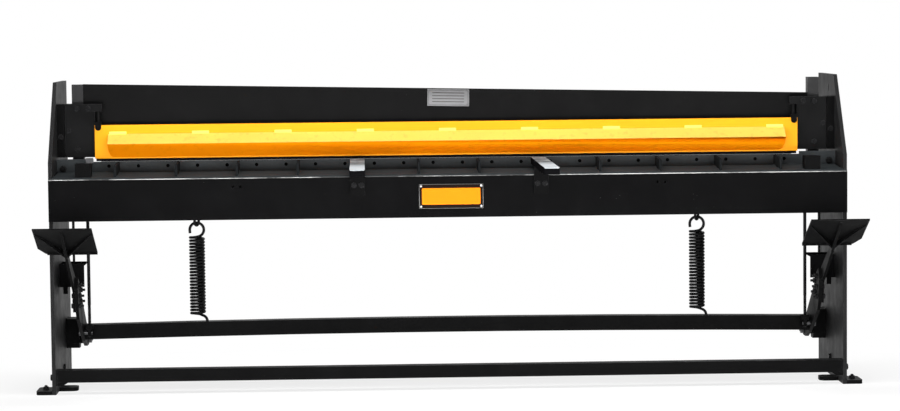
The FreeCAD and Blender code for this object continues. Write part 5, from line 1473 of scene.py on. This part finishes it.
@dataclass
class NamePlate(SubAssembly):
    """The plain plate on the apron: metal rim, black band, bare yellow field and screws.

    Attributes:
        x: Its middle.
        z: Its middle height.
        width: Its width.
        height: Its height.
        front: Y of the apron's front face.
        rim: Width of the metal rim.
        field: Distance of the field from the plate's ends, and from its top and bottom.
        corner: Radius of the field's corners.
    """

    x: float = 5.5
    z: float = 701.0
    width: float = 231.0
    height: float = 88.0
    front: float = -8.0
    rim: float = 1.6
    field: Pair = (10.5, 14.5)
    corner: float = 4.0

    def panel(self, inset: float, front: float, back: float, bevel: float) -> Shape:
        """A flat panel inside the plate's outline.

        Args:
            inset: Distance from the outline.
            front: Y of its front.
            back: Y of its back.
            bevel: Width of its broken edges.

        Returns:
            The shape.
        """
        half_width, half_height = self.width / 2 - inset, self.height / 2 - inset
        shape = Shape()
        shape.block(
            (self.x - half_width, front, self.z - half_height),
            (self.x + half_width, back, self.z + half_height), bevel,
        )
        return shape

    def rounded_field(self, front: float, thick: float) -> Shape:
        """The field's panel, with round corners.

        Args:
            front: Y of its front.
            thick: Its thickness.

        Returns:
            The shape.
        """
        across = self.width / 2 - self.field[0] - self.corner
        rise = self.height / 2 - self.field[1] - self.corner
        outline = []
        for right, up, first in ((1, 1, 0.0), (-1, 1, 90.0), (-1, -1, 180.0), (1, -1, 270.0)):
            for turn in (math.radians(first + step) for step in (0.0, 30.0, 60.0, 90.0)):
                x = self.x + right * across + self.corner * math.cos(turn)
                outline.append((x, front, self.z + up * rise + self.corner * math.sin(turn)))
        shape = Shape()
        cover = shape.mesh.faces.new([shape.mesh.verts.new(point) for point in outline])
        grown = bmesh.ops.extrude_face_region(shape.mesh, geom=[cover])["geom"]
        bmesh.ops.translate(shape.mesh, vec=(0.0, thick, 0.0), verts=only_verts(grown))
        return shape

    def model(self) -> None:
        """Builds the plate from the rim to the screws."""
        face = self.front - 2.0
        rim = self.panel(0.0, face, self.front, 0.6)
        piece = rim.piece("label_rim", RIM_STEEL, Body.FRAME, Slot.BRIGHT)
        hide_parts("name_plate")
        band = self.panel(self.rim, face - 0.6, face + 0.4, 0.25)
        band.piece("label_band", DARK_BAND, Body.FRAME, Slot.COAT)
        self.rounded_field(face - 1.4, 1.3).piece("label_field", FIELD, Body.FRAME, Slot.LABEL)
        screws = Shape()
        dome = [(0.0, 2.3), (1.8, 2.2), (3.4, 1.7), (4.6, 0.8), (5.0, 0.0), (0.0, 0.0)]
        inset = 7.0
        for x in (-self.width / 2 + inset, self.width / 2 - inset):
            for z in (-self.height / 2 + inset, self.height / 2 - inset):
                screws.lathe(dome, (self.x + x, face - 0.5, self.z + z), FORWARD)
        screws.piece("label_screws", SCREW_STEEL, Body.FRAME, Slot.BRIGHT)


@dataclass
class DataPlate(SubAssembly):
    """The bare plate on the beam, with a raised border and blank ruled lines.

    Attributes:
        beam: The beam that carries it.
        x: Its middle along the beam.
        y: Y of the beam's front face.
        rise: Height of its lower edge above the cutting edge.
        half: Half its width.
        height: Its height.
        thick: Its thickness.
        border: Distance of the border from the plate's edge.
    """

    beam: Beam
    x: float = 4.5
    y: float = 209.0
    rise: float = 149.0
    half: float = 76.5
    height: float = 62.0
    thick: float = 1.5
    border: float = 4.0

    def rules(self) -> Shape:
        """The border and the ruled lines.

        Returns:
            The shape, at the plate's own origin.
        """
        side, low, high, line = self.half - self.border, self.border, self.height - self.border, 0.8
        lines = [
            ((-side, high - line), (side, high)),
            ((-side, low), (side, low + line)),
            ((-side, low), (-side + line, high)),
            ((side - line, low), (side, high)),
        ]
        for row in range(1, 5):
            z = low + row * 10.8
            lines.append(((14.0 - side, z), (side - 14.0, z + 2.0)))
        shape = Shape()
        for (x0, z0), (x1, z1) in lines:
            shape.block((x0, -self.thick - 0.35, z0), (x1, -self.thick + 0.3, z1), 0.1)
        return shape

    def plate(self) -> Shape:
        """The plate with its four rivets.

        Returns:
            The shape, at the plate's own origin.
        """
        shape = Shape()
        shape.block((-self.half, -self.thick, 0.0), (self.half, 0.0, self.height), 0.4)
        rivet = [(0.0, 1.2), (1.2, 1.0), (2.2, 0.0), (0.0, 0.0)]
        for x in (-self.half + 7.0, self.half - 7.0):
            for z in (7.5, self.height - 7.5):
                shape.lathe(rivet, (x, -self.thick, z), FORWARD, 16)
        return shape

    def model(self) -> None:
        """Builds lines and plate along the rake of the beam."""
        rules, plate = self.rules(), self.plate()
        tilt = Matrix.Rotation(math.radians(self.beam.rake), 4, "Y")
        place = Matrix.Translation((self.x, self.y, self.beam.edge(self.x) + self.rise)) @ tilt
        for shape in (rules, plate):
            bmesh.ops.transform(shape.mesh, matrix=place, verts=shape.mesh.verts)
        rules.piece("data_plate_rules", DARK_BAND, Body.BEAM, Slot.PLATE)
        piece = plate.piece("bare_data_plate", PLATE_STEEL, Body.BEAM, Slot.PLATE)
        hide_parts("beam_data_plate")


@dataclass(frozen=True)
class Lamp:
    """A rectangular lamp.

    Attributes:
        name: Its name.
        place: Where it hangs, in metres.
        target: What it points at.
        size: Width and height.
        watts: Its power.
    """

    name: str
    place: Point
    target: Point
    size: Pair
    watts: float

    def hang(self) -> None:
        """Adds the lamp to the scene."""
        data = bpy.data.lights.new(self.name, "AREA")
        data.shape = "RECTANGLE"
        data.size, data.size_y = self.size
        data.energy = self.watts
        lamp = bpy.data.objects.new(self.name, data)
        aim = Vector(self.target) - Vector(self.place)
        turn = aim.to_track_quat("-Z", "Y").to_matrix().to_4x4()
        lamp.matrix_world = Matrix.Translation(self.place) @ turn
        bpy.context.scene.collection.objects.link(lamp)


LAMPS = (
    Lamp("overhead", (0.0, -0.4, 3.2), (0.0, 0.1, 0.8), (3.4, 0.5), 95.0),
    Lamp("front_left", (-3.6, -4.2, 1.9), (0.0, 0.0, 0.7), (2.4, 1.6), 12.0),
    Lamp("front_right", (3.8, -3.8, 1.7), (0.0, 0.0, 0.7), (2.4, 1.6), 11.0),
    Lamp("low_front", (0.0, -2.2, 0.35), (0.0, 0.12, 0.87), (4.6, 0.5), 88.0),
    Lamp("rear", (0.5, 4.5, 3.0), (0.0, 0.3, 0.7), (3.4, 1.5), 45.0),
)


@dataclass
class Studio:
    """Camera, lamps, world and floor.

    Attributes:
        eye: Camera position in metres, before the front shift.
        yaw: Turn of the view to the right, in degrees.
        pitch: Fall of the view, in degrees.
        roll: Roll of the view, in degrees.
        lens: Focal length for a sensor 36 mm wide.
    """

    eye: Point = (-0.30544, -9.75712, 1.32208)
    yaw: float = 1.80
    pitch: float = 3.84
    roll: float = 0.57
    lens: float = 108.766

    def camera(self) -> None:
        """Sets the camera to the photograph's view."""
        yaw, pitch, roll = (math.radians(v) for v in (self.yaw, self.pitch, self.roll))
        ahead = Vector((
            math.sin(yaw) * math.cos(pitch), math.cos(yaw) * math.cos(pitch), -math.sin(pitch),
        ))
        level = Vector((math.cos(yaw), -math.sin(yaw), 0.0))
        above = level.cross(ahead)
        right = level * math.cos(roll) - above * math.sin(roll)
        up = above * math.cos(roll) + level * math.sin(roll)
        turn = Matrix((right, up, -ahead)).transposed().to_4x4()
        data = bpy.data.cameras.new("photo_camera")
        data.lens = self.lens
        data.sensor_width = 36.0
        data.sensor_fit = "HORIZONTAL"
        data.clip_end = 200.0
        camera = bpy.data.objects.new("photo_camera", data)
        x, y, z = self.eye
        camera.matrix_world = Matrix.Translation((x, y + FRONT_SHIFT * MM, z)) @ turn
        bpy.context.scene.collection.objects.link(camera)
        bpy.context.scene.camera = camera

    def world(self) -> None:
        """Sets a white world that lights softly and shows white to the camera."""
        world = bpy.data.worlds.new("studio_world")
        graph = NodeGraph(world)
        soft = graph.feed(graph.tree.nodes["Background"], Color=WHITE, Strength=0.42)
        plain = graph.feed(graph.add("ShaderNodeBackground"), Color=WHITE)
        shaders = (soft.outputs["Background"], plain.outputs["Background"])
        graph.mix_out("World Output", graph.seen_or_mirrored(), *shaders)
        bpy.context.scene.world = world

    def floor(self) -> None:
        """Lays a pale floor that turns white away from the machine."""
        mesh = bmesh.new()
        bmesh.ops.create_circle(mesh, cap_ends=True, radius=60.0, segments=96)
        data = bpy.data.meshes.new("studio_floor")
        mesh.to_mesh(data)
        mesh.free()
        floor = bpy.data.objects.new("studio_floor", data)
        bpy.context.scene.collection.objects.link(floor)
        data.materials.append(self.floor_material())

    def floor_material(self) -> bpy.types.Material:
        """The floor's paint, which is plain white to the camera away from the machine.

        Returns:
            The material.
        """
        paint = bpy.data.materials.new("studio_floor")
        graph = NodeGraph(paint)
        pale = graph.feed(graph.shader, Base_Color=(0.93, 0.93, 0.93, 1.0), Roughness=0.9)
        graph.feed(pale, Specular_IOR_Level=0.1)
        distance = graph.add("ShaderNodeVectorMath", operation="LENGTH")
        graph.link(graph.stretched((0.45, 1.0, 1.0)), distance.inputs[0])
        far = graph.ramp(distance.outputs["Value"], 0.5, 1.3, (0.72, 1.0))
        glow = graph.add("ShaderNodeEmission")
        share = graph.times(graph.seen_or_mirrored(), far)
        graph.mix_out("Material Output", share, pale.outputs["BSDF"], glow.outputs["Emission"])
        return paint

    def build(self) -> None:
        """Sets up camera, lamps, world and floor."""
        bpy.context.scene.view_settings.view_transform = "Standard"
        self.camera()
        for lamp in LAMPS:
            lamp.hang()
        self.world()
        self.floor()


def main() -> None:
    """Builds the studio and every part of the machine."""
    logging.basicConfig(level=logging.INFO, format="%(message)s")
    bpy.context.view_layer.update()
    stand, table, beam, treadle, springs = Stand(), CuttingTable(), Beam(), Treadle(), ReturnSprings()
    for part in (
        Studio(), stand, table, Guides(stand), beam, GuardAndHoldDown(), treadle,
        Fasteners(stand, table, beam, treadle, springs), springs, NamePlate(), DataPlate(beam),
    ):
        part.build()
        LOG.info("built %s", type(part).__name__)


if __name__ == "__main__":
    main()
